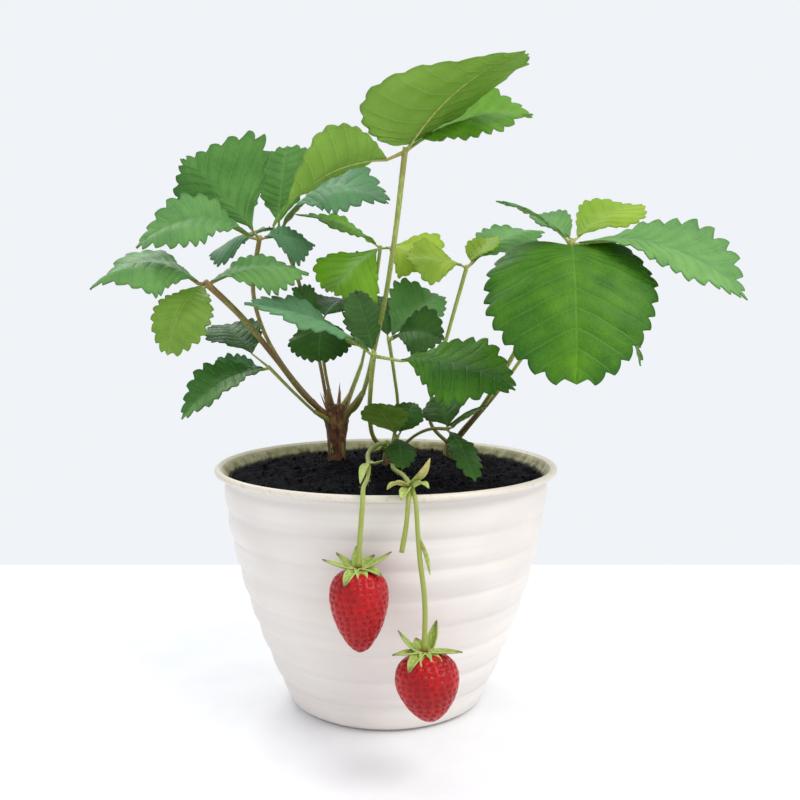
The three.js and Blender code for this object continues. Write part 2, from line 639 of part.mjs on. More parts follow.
// A berry: a turned heart shape with the dimples of its seeds in staggered rows.
function berry({ top, tip, radius, shoulder }, swell = 0) {
  const [start, end] = [vector(top), vector(tip)];
  const length = start.distanceTo(end);
  const rows = 2 * SEED_ROWS;
  const columns = 2 * SEEDS_ROUND;
  const profile = [];
  for (let row = 0; row <= rows; row += 1) {
    const t = row / rows;
    const girth = radius * Math.sin(Math.PI * t ** shoulder) ** BERRY_FULLNESS + swell;
    const r = row === 0 || row === rows ? 0 : girth;
    profile.push(new THREE.Vector2(r, swell - t * (length + 2 * swell)));
  }
  const geometry = new THREE.LatheGeometry(profile.reverse(), columns);
  const { position, normal } = geometry.attributes;
  for (let column = 0; column <= columns; column += 1) {
    for (let point = 2; point < rows - 1; point += 1) {
      const i = column * (rows + 1) + point;
      const isDimple = point % 2 === 0 && (column + point / 2) % 2 === 0;
      const rise = isDimple ? -DIMPLE : DIMPLE / 3;
      for (const axis of ['X', 'Y', 'Z']) {
        const moved = position[`get${axis}`](i) + rise * normal[`get${axis}`](i);
        position[`set${axis}`](i, moved);
      }
    }
  }
  const turn = new THREE.Quaternion().setFromUnitVectors(
    new THREE.Vector3(0, -1, 0), end.clone().sub(start).normalize(),
  );
  geometry.applyQuaternion(turn);
  geometry.translate(...top);
  return solidOf(geometry);
}

// A calyx: narrow pointed sepals round a small plate on top of the berry.
function calyx(side) {
  const centre = vector(BERRIES[side].top).add(new THREE.Vector3(0, 0, GAP + BLADE_THICKNESS / 2));
  const sepals = SEPALS[side].toSorted((a, b) => a[0] - b[0]);
  const headingAt = (i) => {
    const turns = Math.floor(i / sepals.length);
    return sepals[i - turns * sepals.length][0] + 360 * turns;
  };
  const radial = (degrees) => {
    const angle = THREE.MathUtils.degToRad(degrees);
    return new THREE.Vector3(Math.cos(angle), Math.sin(angle), 0);
  };
  const points = [centre];
  const triangles = [];
  const rim = [];
  const sharp = new Set();
  const add = (point) => points.push(point) - 1;
  const feet = sepals.map((_, i) => {
    const between = (headingAt(i) + headingAt(i - 1)) / 2;
    return add(radial(between).multiplyScalar(CALYX_FOOT).add(centre));
  });
  sepals.forEach(([heading, footRise, tipRise, length], i) => {
    const outward = radial(heading);
    const across = radial(heading + 90);
    const spine = radial(heading).multiplyScalar(CALYX_FOOT * 0.9).add(centre);
    const [first, next] = [feet[i], feet[(i + 1) % feet.length]];
    let [right, left] = [first, next];
    const rightEdge = [first];
    const leftEdge = [];
    triangles.push(0, first, next);
    for (const [share, width] of [[0.35, 1], [0.7, 0.75], [1, 0]]) {
      const rise = THREE.MathUtils.degToRad(footRise + (tipRise - footRise) * share);
      const step = (length - CALYX_FOOT) * (share === 1 ? 0.3 : 0.35);
      spine.addScaledVector(outward, step * Math.cos(rise));
      spine.z += step * Math.sin(rise);
      if (width === 0) {
        const tip = add(spine.clone());
        sharp.add(tip);
        triangles.push(right, tip, left);
        rightEdge.push(tip);
      } else {
        const nextRight = add(spine.clone().addScaledVector(across, -SEPAL_WIDTH * width));
        const nextLeft = add(spine.clone().addScaledVector(across, SEPAL_WIDTH * width));
        triangles.push(right, nextRight, nextLeft, right, nextLeft, left);
        rightEdge.push(nextRight);
        leftEdge.unshift(nextLeft);
        [right, left] = [nextRight, nextLeft];
      }
    }
    rim.push(...rightEdge, ...leftEdge);
  });
  return thicken(points, triangles, rim, sharp, BLADE_THICKNESS);
}

const crowns = Object.fromEntries(Object.entries(CROWNS).map(([name, shape]) => [name, crown(shape)]));
const crownRoom = unite(Object.values(CROWNS).map((shape) => crown(shape, CROWN_ROOM)));
const stalkRooms = Object.values(LEAVES).map((leaf) => stalk(leaf, STEM_ROOM));
const bareSpikes = stalkRooms.reduce((spikes, room) => spikes.subtract(room), unite(stipules()));

addPart('pot', pot(), COLOURS.pot, 0.5);
addPart('soil', soil().subtract(crownRoom), COLOURS.soil, 0.95);
addPart('crown_main', largestBody(crowns.crown_main.add(bareSpikes)), COLOURS.crown, 0.85);
addPart('crown_branch', crowns.crown_branch, COLOURS.crown, 0.85);
addPart('crown_side', crowns.crown_side, COLOURS.crown, 0.85);

// Where stalks crowd at a crown, each one is hollowed to clear those before it.
Object.entries(LEAVES).forEach(([name, leaf], order) => {
  const rooms = [crownRoom, ...stalkRooms.slice(0, order)];
  const trimmed = rooms.reduce((rest, room) => rest.subtract(room), compoundLeaf(leaf));
  addPart(name, largestBody(trimmed), COLOURS[name], 0.55);
});

addPart('truss', largestBody(truss([crownRoom, ...stalkRooms])), COLOURS.truss, 0.55);
for (const side of ['left', 'right']) {
  const room = berry(BERRIES[side], 0.9 * GAP);
  addPart(`calyx_${side}`, largestBody(calyx(side).subtract(room)), COLOURS.calyx, 0.6);
  addPart(`berry_${side}`, berry(BERRIES[side]), COLOURS.berry, 0.3);
}

export default plant;
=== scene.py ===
import math
import random

import bmesh
import bpy
import numpy as np
from mathutils import Matrix, Vector, noise


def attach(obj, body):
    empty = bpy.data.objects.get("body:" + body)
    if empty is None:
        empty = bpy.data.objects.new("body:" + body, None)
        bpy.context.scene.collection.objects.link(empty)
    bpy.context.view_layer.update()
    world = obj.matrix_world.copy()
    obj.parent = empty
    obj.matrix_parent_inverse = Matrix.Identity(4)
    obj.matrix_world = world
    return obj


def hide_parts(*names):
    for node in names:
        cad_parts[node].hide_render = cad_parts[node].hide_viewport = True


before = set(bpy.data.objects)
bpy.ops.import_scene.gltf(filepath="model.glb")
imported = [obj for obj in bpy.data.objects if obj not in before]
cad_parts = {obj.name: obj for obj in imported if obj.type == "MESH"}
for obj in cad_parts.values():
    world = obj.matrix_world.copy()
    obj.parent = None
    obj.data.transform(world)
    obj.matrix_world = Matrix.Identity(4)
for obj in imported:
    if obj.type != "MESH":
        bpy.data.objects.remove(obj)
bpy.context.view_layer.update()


# ---- The pot ----
# A thin white plastic nursery pot, blow moulded in one piece with eight soft ribs round it and a
# flat rolled lip. Four drain holes go through its floor.
WALL_TOP_RADIUS = 0.0848
BASE_RADIUS = 0.050
POT_FLARE = 1.7
FLARE_TOP = 0.1236
RIBS = 8
RIB_PITCH = 0.015
RIB_DEPTH = 0.0013
RIB_STEPS = 13
WALL = 0.0018
FLOOR = 0.0022
LIP_FOOT = 0.122
LIP_INNER_RADIUS = 0.0861
DRAIN_RING = 0.030
DRAIN_RADIUS = 0.005
POT_STEPS = 176


def paint(red, green, blue):
    """A colour seen as these 0 to 255 values, as the shader takes it."""
    parts = [v / 255 for v in (red, green, blue)]
    parts = [v / 12.92 if v <= 0.04045 else ((v + 0.055) / 1.055) ** 2.4 for v in parts]
    return (*parts, 1.0)


def node(tree, kind, inputs=None, **settings):
    """A shader node with its settings, and its inputs set or joined."""
    made = tree.nodes.new("ShaderNode" + kind)
    for name, value in settings.items():
        setattr(made, name, value)
    for key, value in (inputs or {}).items():
        if isinstance(value, bpy.types.NodeSocket):
            tree.links.new(value, made.inputs[key])
        else:
            made.inputs[key].default_value = value
    return made


def maths(tree, operation, first, second=0.0):
    return node(tree, "Math", {0: first, 1: second}, operation=operation).outputs[0]


def ramp(tree, value, low, high, start=0.0, end=1.0):
    """A smooth change from start to end while value goes from low to high."""
    inputs = {"Value": value, "From Min": low, "From Max": high, "To Min": start, "To Max": end}
    return node(tree, "MapRange", inputs, interpolation_type="SMOOTHSTEP").outputs[0]


def blend(tree, share, first, second):
    """The first colour turning into the second as share goes from 0 to 1."""
    return node(tree, "Mix", {0: share, 6: first, 7: second}, data_type="RGBA").outputs[2]


def mottle(tree, place, scale, detail=3.0, roughness=0.55):
    inputs = {"Vector": place, "Scale": scale, "Detail": detail, "Roughness": roughness}
    return node(tree, "TexNoise", inputs).outputs["Fac"]


def object_place(tree, scale=(1, 1, 1)):
    """The place on the plant, in metres, stretched by scale."""
    place = node(tree, "TexCoord").outputs["Object"]
    return node(tree, "Mapping", {"Vector": place, "Scale": scale}).outputs["Vector"]


def new_finish(name):
    """An empty material, its node tree and its main shader."""
    finish = bpy.data.materials.new(name)
    finish.use_nodes = True
    return finish, finish.node_tree, finish.node_tree.nodes["Principled BSDF"]


def dress(tree, shader, color, rough, height=None, depth=0.0, strength=1.0):
    """Joins a finish's colour and roughness. A height from 0 to 1 stands out by depth metres."""
    tree.links.new(color, shader.inputs["Base Color"])
    tree.links.new(rough, shader.inputs["Roughness"])
    if height is not None:
        inputs = {"Height": height, "Distance": depth, "Strength": strength}
        tree.links.new(node(tree, "Bump", inputs).outputs[0], shader.inputs["Normal"])


def new_object(name, data):
    made = bpy.data.objects.new(name, data)
    bpy.context.scene.collection.objects.link(made)
    return made


def mesh_object(name, bm, finishes=()):
    """The mesh as an object at the origin, with its finishes."""
    mesh = bpy.data.meshes.new(name)
    bm.to_mesh(mesh)
    bm.free()
    for finish in finishes:
        mesh.materials.append(finish)
    return new_object(name, mesh)


def place_piece(name, bm, finishes, cad_node=None):
    """The mesh as a piece of the plant, in place of a plain solid where it has one."""
    piece = mesh_object(name, bm, finishes)
    piece.data.shade_smooth()
    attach(piece, "root")
    if cad_node:
        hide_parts(cad_node)
    return piece


def turned_body(bm, outline, steps, at=(0.0, 0.0)):
    """Spins an outline of (radius, height) points that starts and ends on the axis."""
    verts = [bm.verts.new((r + at[0], at[1], z)) for r, z in outline]
    edges = [bm.edges.new(pair) for pair in zip(verts, verts[1:])]
    bmesh.ops.spin(bm, geom=verts + edges, cent=(*at, 0), axis=(0, 0, 1), steps=steps,
                   angle=math.tau, use_merge=True)
    bmesh.ops.remove_doubles(bm, verts=bm.verts, dist=1e-6)
    bmesh.ops.recalc_face_normals(bm, faces=bm.faces)


def smooth_route(points, steps):
    """Points of one smooth curve through the given ones, steps to each stretch."""
    points = [np.array(p, float) for p in points]
    points = [2 * points[0] - points[1], *points, 2 * points[-1] - points[-2]]
    route = []
    for p0, p1, p2, p3 in zip(points, points[1:], points[2:], points[3:]):
        d0, d1, d2 = (np.linalg.norm(q - p) ** 0.5 for p, q in ((p0, p1), (p1, p2), (p2, p3)))
        m1 = d1 * ((p1 - p0) / d0 - (p2 - p0) / (d0 + d1) + (p2 - p1) / d1)
        m2 = d1 * ((p2 - p1) / d1 - (p3 - p1) / (d1 + d2) + (p3 - p2) / d2)
        for step in range(steps):
            t = step / steps
            route.append(p1 * (2 * t**3 - 3 * t**2 + 1) + m1 * (t**3 - 2 * t**2 + t)
                         + p2 * (3 * t**2 - 2 * t**3) + m2 * (t**3 - t**2))
    return [*route, points[-2]]


def pot_radius(z):
    """Radius of the wall's outer side at a height, halfway up its ribs."""
    fall = max(0.0, 1 - z / FLARE_TOP)
    return WALL_TOP_RADIUS - (WALL_TOP_RADIUS - BASE_RADIUS) * fall**POT_FLARE


def inner_radius(z):
    return pot_radius(z) - WALL - RIB_DEPTH / 2


outside = [(0, 0), (0.030, 0), (0.0465, 0), (0.0480, 0.0002), (0.0489, 0.0009)]
for step in range(2, RIBS * RIB_STEPS + 1):
    z = step / RIB_STEPS * RIB_PITCH
    swell = math.sin(math.pi * (step / RIB_STEPS % 1) ** 0.87) ** 0.8
    outside.append((pot_radius(z) + RIB_DEPTH * (swell - 0.5), z))
lip = smooth_route([
    (0.0846, 0.1226), (0.0868, 0.1233), (0.0893, 0.1238), (0.0899, 0.1250), (0.0894, 0.1263),
    (0.0880, 0.12695), (0.0862, 0.1258), (0.0846, 0.1242), (0.0830, 0.1222),
], 4)
inside = [(inner_radius(z / 1000), z / 1000) for z in range(120, 2, -6)]
inside += [(0.0465, 0.0030), (0.0455, FLOOR), (0.020, FLOOR), (0, FLOOR)]

bm = bmesh.new()
turned_body(bm, outside + [tuple(p) for p in lip] + inside, POT_STEPS)
# Thin walls cool unevenly: the ribs wave a little, and the pot isn't quite round.
for vert in bm.verts:
    x, y, z = vert.co
    turn = math.atan2(y, x)
    level = math.sin(math.pi * min(max(z / 0.118, 0), 1)) ** 0.5
    vert.co.z += level * (0.00035 * math.sin(2 * turn + 0.6) + 0.0002 * math.sin(5 * turn + z * 90))
    squeeze = 1 - level * 0.0022 * (1 + math.sin(3 * turn + 1.1))
    vert.co.x *= squeeze
    vert.co.y *= squeeze
for face in bm.faces:
    middle = face.calc_center_median()
    inside_radius = pot_radius(middle.z) - WALL if middle.z < LIP_FOOT else LIP_INNER_RADIUS
    face.material_index = int(middle.xy.length < inside_radius and middle.z > FLOOR / 2)

pot_white, tree, shader = new_finish("pot_white")
place = object_place(tree)
height = node(tree, "SeparateXYZ", {0: place}).outputs[2]
cloud = mottle(tree, place, 14.0, 2.0)
bands = mottle(tree, object_place(tree, (6, 6, 150)), 1.0, 2.0)
body = blend(tree, ramp(tree, cloud, 0.35, 0.65), paint(224, 216, 209), paint(234, 228, 222))
body = blend(tree, ramp(tree, bands, 0.4, 0.62, 0.0, 0.5), body, paint(219, 213, 210))
scuff = mottle(tree, object_place(tree, (1, 1, 5)), 240.0, 4.0, 0.7)
low = ramp(tree, height, 0.0, 0.055, 1.0, 0.25)
marks = maths(tree, "MULTIPLY", ramp(tree, scuff, 0.62, 0.74), low)
body = blend(tree, maths(tree, "MULTIPLY", marks, 0.5), body, paint(178, 166, 156))
soiled = mottle(tree, place, 420.0, 3.0, 0.65)
lip_share = maths(tree, "MULTIPLY", ramp(tree, height, 0.1222, 0.1242), ramp(tree, soiled, 0.55, 0.72))
body = blend(tree, ramp(tree, height, 0.1225, 0.1262, 0.0, 0.6), body, paint(218, 206, 184))
body = blend(tree, maths(tree, "MULTIPLY", lip_share, 0.4), body, paint(170, 142, 104))
dress(tree, shader, body, ramp(tree, scuff, 0.3, 0.7, 0.34, 0.5),
      mottle(tree, place, 900.0, 2.0), 0.00008, 0.5)

pot_inner_wall, tree, shader = new_finish("pot_inner_wall")
place = object_place(tree)
height = node(tree, "SeparateXYZ", {0: place}).outputs[2]
stain = mottle(tree, place, 160.0, 5.0, 0.65)
wall = blend(tree, ramp(tree, stain, 0.38, 0.62), paint(178, 174, 132), paint(132, 124, 82))
wall = blend(tree, ramp(tree, height, 0.1235, 0.1262, 0.0, 0.6), wall, paint(206, 198, 164))
# Darker towards the soil: from a few millimetres under the rim down, the wall turns nearly black in ragged
# patches.
low_darkening = maths(tree, "ADD", ramp(tree, height, 0.1195, 0.1245, 1.0, 0.0), maths(tree, "SUBTRACT", stain, 0.6))
wall = blend(tree, ramp(tree, low_darkening, 0.25, 0.75), wall, paint(46, 40, 34))
dress(tree, shader, wall, ramp(tree, stain, 0.3, 0.7, 0.5, 0.8), stain, 0.0003, 0.6)

pot = place_piece("moulded_pot", bm, [pot_white, pot_inner_wall], "pot")
bm = bmesh.new()
for heading in (45, 135, 225, 315):
    turn = math.radians(heading)
    at = Matrix.Translation((DRAIN_RING * math.cos(turn), DRAIN_RING * math.sin(turn), FLOOR / 2))
    bmesh.ops.create_cone(bm, cap_ends=True, segments=28, radius1=DRAIN_RADIUS, radius2=DRAIN_RADIUS,
                          depth=3 * FLOOR, matrix=at)
drill = mesh_object("drain_drill", bm)
drains = pot.modifiers.new("drains", "BOOLEAN")
drains.operation, drains.object, drains.solver = "DIFFERENCE", drill, "EXACT"
drilled = bpy.data.meshes.new_from_object(pot.evaluated_get(bpy.context.evaluated_depsgraph_get()))
pot.modifiers.clear()
pot.data = drilled
bpy.data.objects.remove(drill)


# ---- The potting mix ----
# Dark, moist peat mix filled to a few millimetres under the rim, with loose crumbs lying on it.
# It mounds a little round the main crown.
SOIL_LEVEL = 0.120
SOIL_RADIUS = 0.0815
SOIL_RINGS = 76
SOIL_STEPS = 168
SOIL_GAP = 0.0003
MAIN_CROWN = (-0.029, 0.043)
CRUMBS = 620
CRUMB_SIZES = (0.0004, 0.0006, 0.0008, 0.0011)


def soil_height(x, y):
    """Height of the mix at a place on it, lumps and grains included."""
    u, v = 1000 * x, 1000 * y
    lumps = (0.8 * math.sin(0.17 * u + 1.1) * math.cos(0.21 * v + 0.4)
             + 0.6 * math.sin(0.33 * u - 0.27 * v) + 0.4 * math.cos(0.51 * v + 0.2 * u))
    mound = 1.6 * math.exp(-((u + 29) ** 2 + (v - 43) ** 2) / 300)
    grain = 1.0 * noise.noise(Vector((u, v, 0)) * 0.5) + 0.8 * noise.noise(Vector((u, v, 9)) * 1.0)
    return SOIL_LEVEL + (lumps + mound + grain) / 1000


top = [(SOIL_RADIUS * ring / SOIL_RINGS, SOIL_LEVEL) for ring in range(SOIL_RINGS + 1)]
side = [(inner_radius(z) - SOIL_GAP, z + SOIL_GAP) for z in (0.110, 0.09, 0.06, 0.03)]
bm = bmesh.new()
turned_body(bm, top + side + [(0.0463, 0.0026), (0, 0.0026)], SOIL_STEPS)
for vert in bm.verts:
    if vert.co.z > SOIL_LEVEL - 0.001:
        vert.co.z = soil_height(vert.co.x, vert.co.y)

potting_mix, tree, shader = new_finish("potting_mix")
place = object_place(tree)
grains = node(tree, "TexVoronoi", {"Vector": place, "Scale": 700.0}).outputs
peat = mottle(tree, place, 260.0, 6.0, 0.7)
shade = blend(tree, ramp(tree, peat, 0.35, 0.7), paint(7, 7, 13), paint(29, 28, 34))
speck = maths(tree, "MULTIPLY", ramp(tree, mottle(tree, place, 1300.0, 2.0), 0.62, 0.7),
              ramp(tree, peat, 0.4, 0.6))
shade = blend(tree, maths(tree, "MULTIPLY", speck, 0.5), shade, paint(86, 76, 66))
dress(tree, shader, shade, ramp(tree, peat, 0.3, 0.7, 0.7, 0.95),
      maths(tree, "ADD", grains["Distance"], peat), 0.0014)
shader.inputs["Specular IOR Level"].default_value = 0.06
place_piece("peat_mix", bm, [potting_mix], "soil")

rng = random.Random(41)
bm = bmesh.new()
for _ in range(CRUMBS):
    radius = SOIL_RADIUS * math.sqrt(rng.random()) * 0.97
    turn = rng.random() * math.tau
    x, y = radius * math.cos(turn), radius * math.sin(turn)
    size = rng.choice(CRUMB_SIZES) * rng.uniform(0.8, 1.3)
    squash = Matrix.Diagonal((rng.uniform(0.7, 1.5), rng.uniform(0.6, 1.2), rng.uniform(0.5, 0.9), 1))
    spin = Matrix.Rotation(rng.random() * math.tau, 4, Vector((rng.random(), rng.random(), 0.3)))
    at = Matrix.Translation((x, y, soil_height(x, y) + 0.3 * size))
    bmesh.ops.create_icosphere(bm, subdivisions=1, radius=size, matrix=at @ spin @ squash)
place_piece("mix_crumbs", bm, [potting_mix])


# ---- The crowns ----
# Short woody crowns that the leaves and the fruit stem grow from: one thick and brown with old,
# torn leaf bases round it, and two slender green-brown side crowns.
CROWN_SIDES = 56


def scaly_crown(name, cad_node, at, outline, finish, rough):
    """A turned crown whose side is broken up by the bases of old leaves."""
    outline = [(r / 1000, z / 1000) for r, z in outline]
    skin = [tuple(p) for p in smooth_route(outline, 6)]
    top = outline[-1][1] + 0.0014
    skin += [(outline[-1][0] * 0.75, top - 0.0005), (outline[-1][0] * 0.4, top - 0.0001)]
    bm = bmesh.new()
    turned_body(bm, [(0, outline[0][1]), *skin, (0, top)], CROWN_SIDES, at)
    for vert in bm.verts:
        away = Vector((vert.co.x - at[0], vert.co.y - at[1], 0))
        if away.length > 1e-5:
            turn = math.atan2(away.y, away.x)
            scales = abs(math.sin(2.5 * turn + 260 * vert.co.z)) - 0.6
            grain = noise.noise(Vector((math.cos(turn) * 3, math.sin(turn) * 3, vert.co.z * 500)))
            vert.co += away.normalized() * rough * (0.6 * scales + 0.7 * grain - 0.2)
    place_piece(name, bm, [finish], cad_node)


def bark_finish(name, dark, light, dry):
    """Fibrous bark: dark and light strands up the crown, with dry patches."""
    finish, tree, shader = new_finish(name)
    strands = mottle(tree, object_place(tree, (1, 1, 0.16)), 900.0, 4.0, 0.65)
    patches = mottle(tree, object_place(tree), 170.0, 3.0)
    bark = blend(tree, ramp(tree, strands, 0.38, 0.62), paint(*dark), paint(*light))
    bark = blend(tree, ramp(tree, patches, 0.52, 0.66, 0.0, 0.8), bark, paint(*dry))
    dress(tree, shader, bark, ramp(tree, strands, 0.3, 0.7, 0.55, 0.85), strands, 0.0006, 0.8)
    return finish


brown_bark = bark_finish("brown_bark", (58, 32, 20), (122, 74, 42), (150, 112, 66))
young_bark = bark_finish("young_bark", (86, 74, 36), (138, 134, 68), (150, 106, 66))
scaly_crown("main_crown", "crown_main", MAIN_CROWN, [
    (5.4, 102), (5.2, 121), (5.1, 128), (5.8, 136), (7.0, 143), (7.4, 147), (5.0, 152),
], brown_bark, 0.0006)
scaly_crown("branch_crown", "crown_branch", (0.002, 0.032), [
    (3.9, 104), (4.7, 121), (4.2, 127), (2.5, 131)], young_bark, 0.0003)
scaly_crown("side_crown", "crown_side", (0.038, 0.060), [
    (3.9, 104), (5.2, 121), (4.6, 127), (2.7, 131)], young_bark, 0.0003)

# Dry stipules stand round the main crown. Each has a heading and a lean in degrees, and a length.
STIPULES = ((-20, 16, 24), (35, 22, 20), (80, 12, 22), (140, 26, 17), (200, 20, 18), (-75, 24, 21),
            (-45, 38, 15))
STIPULE_FOOT = 143.5
papery, tree, shader = new_finish("papery_stipule")
strands = mottle(tree, object_place(tree, (1, 1, 0.12)), 1500.0, 3.0)
dry = blend(tree, ramp(tree, strands, 0.35, 0.65), paint(104, 66, 40), paint(170, 132, 88))
dress(tree, shader, dry, ramp(tree, strands, 0.3, 0.7, 0.5, 0.75), strands, 0.0003, 0.7)
bm = bmesh.new()
for heading, lean, length in STIPULES:
    spike = bmesh.ops.create_cone(bm, cap_ends=True, segments=10, radius1=2.0, radius2=0.1, depth=length)
    for vert in spike["verts"]:
        up = vert.co.z + length / 2
        vert.co = Vector((0.55 * vert.co.x + 0.0018 * up * up, 0.95 * vert.co.y, up))
    turn = Matrix.Rotation(math.radians(heading), 4, "Z")
    at = Matrix.Translation((1000 * MAIN_CROWN[0], 1000 * MAIN_CROWN[1], STIPULE_FOOT)) @ turn
    at = at @ Matrix.Translation((3, 0, 0)) @ Matrix.Rotation(math.radians(lean), 4, "Y")
    bmesh.ops.transform(bm, matrix=Matrix.Scale(0.001, 4) @ at, verts=spike["verts"])
place_piece("dry_stipules", bm, [papery])


# ---- The tallest leaf ----
# One leaf is a long, finely haired stalk with three toothed leaflets at its end. This one leans over
# the pot's middle and shows the pale underside of its leaflets. Every leaf is made by these means.
# A form holds the powers that width and length follow, and the notch at the foot.
OVAL = (0.7, 0.8, 0.0)
BLUNT = (0.55, 0.65, 0.0)
HEART = (0.45, 1.4, 0.14)
FAN = (0.75, 0.95, 0.0)
NOTCH_PEAK = 0.168
# Shares of a leaflet's margin: the part at the foot without teeth, and the rounded tip.
PLAIN_SHARE = 0.2
PLAIN_ROWS = 14
TIP_SHARE = 0.04
TIP_ROWS = 5
TIP_REACH = 1.022
TOOTH_DEPTH = 0.045
TOOTH_PEAK = 0.7
TOOTH_PHASES = (0.0, 0.14, 0.28, 0.42, 0.54, 0.63, TOOTH_PEAK, 0.76, 0.87)
COLUMNS = 15
RELIEF = 0.45
BLADE_THICKNESS = 0.0006
STALK_STEPS = 14
HUB_DEPTH = 1.5
# The sheath at a stalk's foot: how far out from the main crown's axis, and at what height.
SHEATH = ((2.6, 123), (3.2, 134), (5.0, 143))
haired_stalks = []


def unit(v):
    return v / np.linalg.norm(v, axis=-1, keepdims=True)


def margin_rows(teeth):
    """Rows of a leaflet's grid: place along the margin, share of a tooth's depth, and vein number."""
    width = (1 - PLAIN_SHARE - TIP_SHARE) / teeth
    rows = [(PLAIN_SHARE * step / PLAIN_ROWS, 0.0) for step in range(PLAIN_ROWS)]
    for tooth in range(teeth):
        for phase in TOOTH_PHASES:
            out = (math.sin(math.pi / 2 * phase / TOOTH_PEAK) ** 0.75 if phase <= TOOTH_PEAK
                   else (1 - (phase - TOOTH_PEAK) / 0.3) ** 1.4)
            rows.append((PLAIN_SHARE + width * (tooth + phase), out))
    rows += [(1 - TIP_SHARE * (1 - step / TIP_ROWS), 0.0) for step in range(TIP_ROWS + 1)]
    first = PLAIN_SHARE + TOOTH_PEAK * width
    return [(u, out, (u - first) / width) for u, out in rows]


def blade_outline(half_width, form, rows):
    """Each row's point on the margin and on the midrib, in leaflet lengths, teeth included."""
    width_power, length_power, notch = form
    k = np.linspace(0, 1, 1200)
    hollow = notch * k**0.6 * (1 - k) ** 4 / NOTCH_PEAK
    outline = np.stack([half_width * np.sin(np.pi * k) ** width_power, k**length_power - hollow], axis=1)
    run = np.concatenate([[0], np.cumsum(np.linalg.norm(np.diff(outline, axis=0), axis=1))])
    u = np.array([row[0] for row in rows])
    behind, at, ahead = (
        np.stack([np.interp(u * run[-1] + step, run, outline[:, i]) for i in (0, 1)], axis=1)
        for step in (-1e-3, 0, 1e-3))
    along = unit(ahead - behind)
    push = np.array([row[1] for row in rows]) * TOOTH_DEPTH
    push *= np.minimum(1, 0.45 + 1.5 * (u - PLAIN_SHARE))
    tooth = np.stack([along[:, 1], -along[:, 0]], axis=1) * push[:, None]
    last = np.searchsorted(u, 1 - TIP_SHARE)
    share = ((u[last:] - u[last]) / TIP_SHARE)[:, None]
    at[last:] = at[last] * (1 - share) + np.array([0, TIP_REACH]) * share
    root = np.maximum(0.22 * u, at[:, 1] - 0.55 * at[:, 0])
    return at, tooth, root


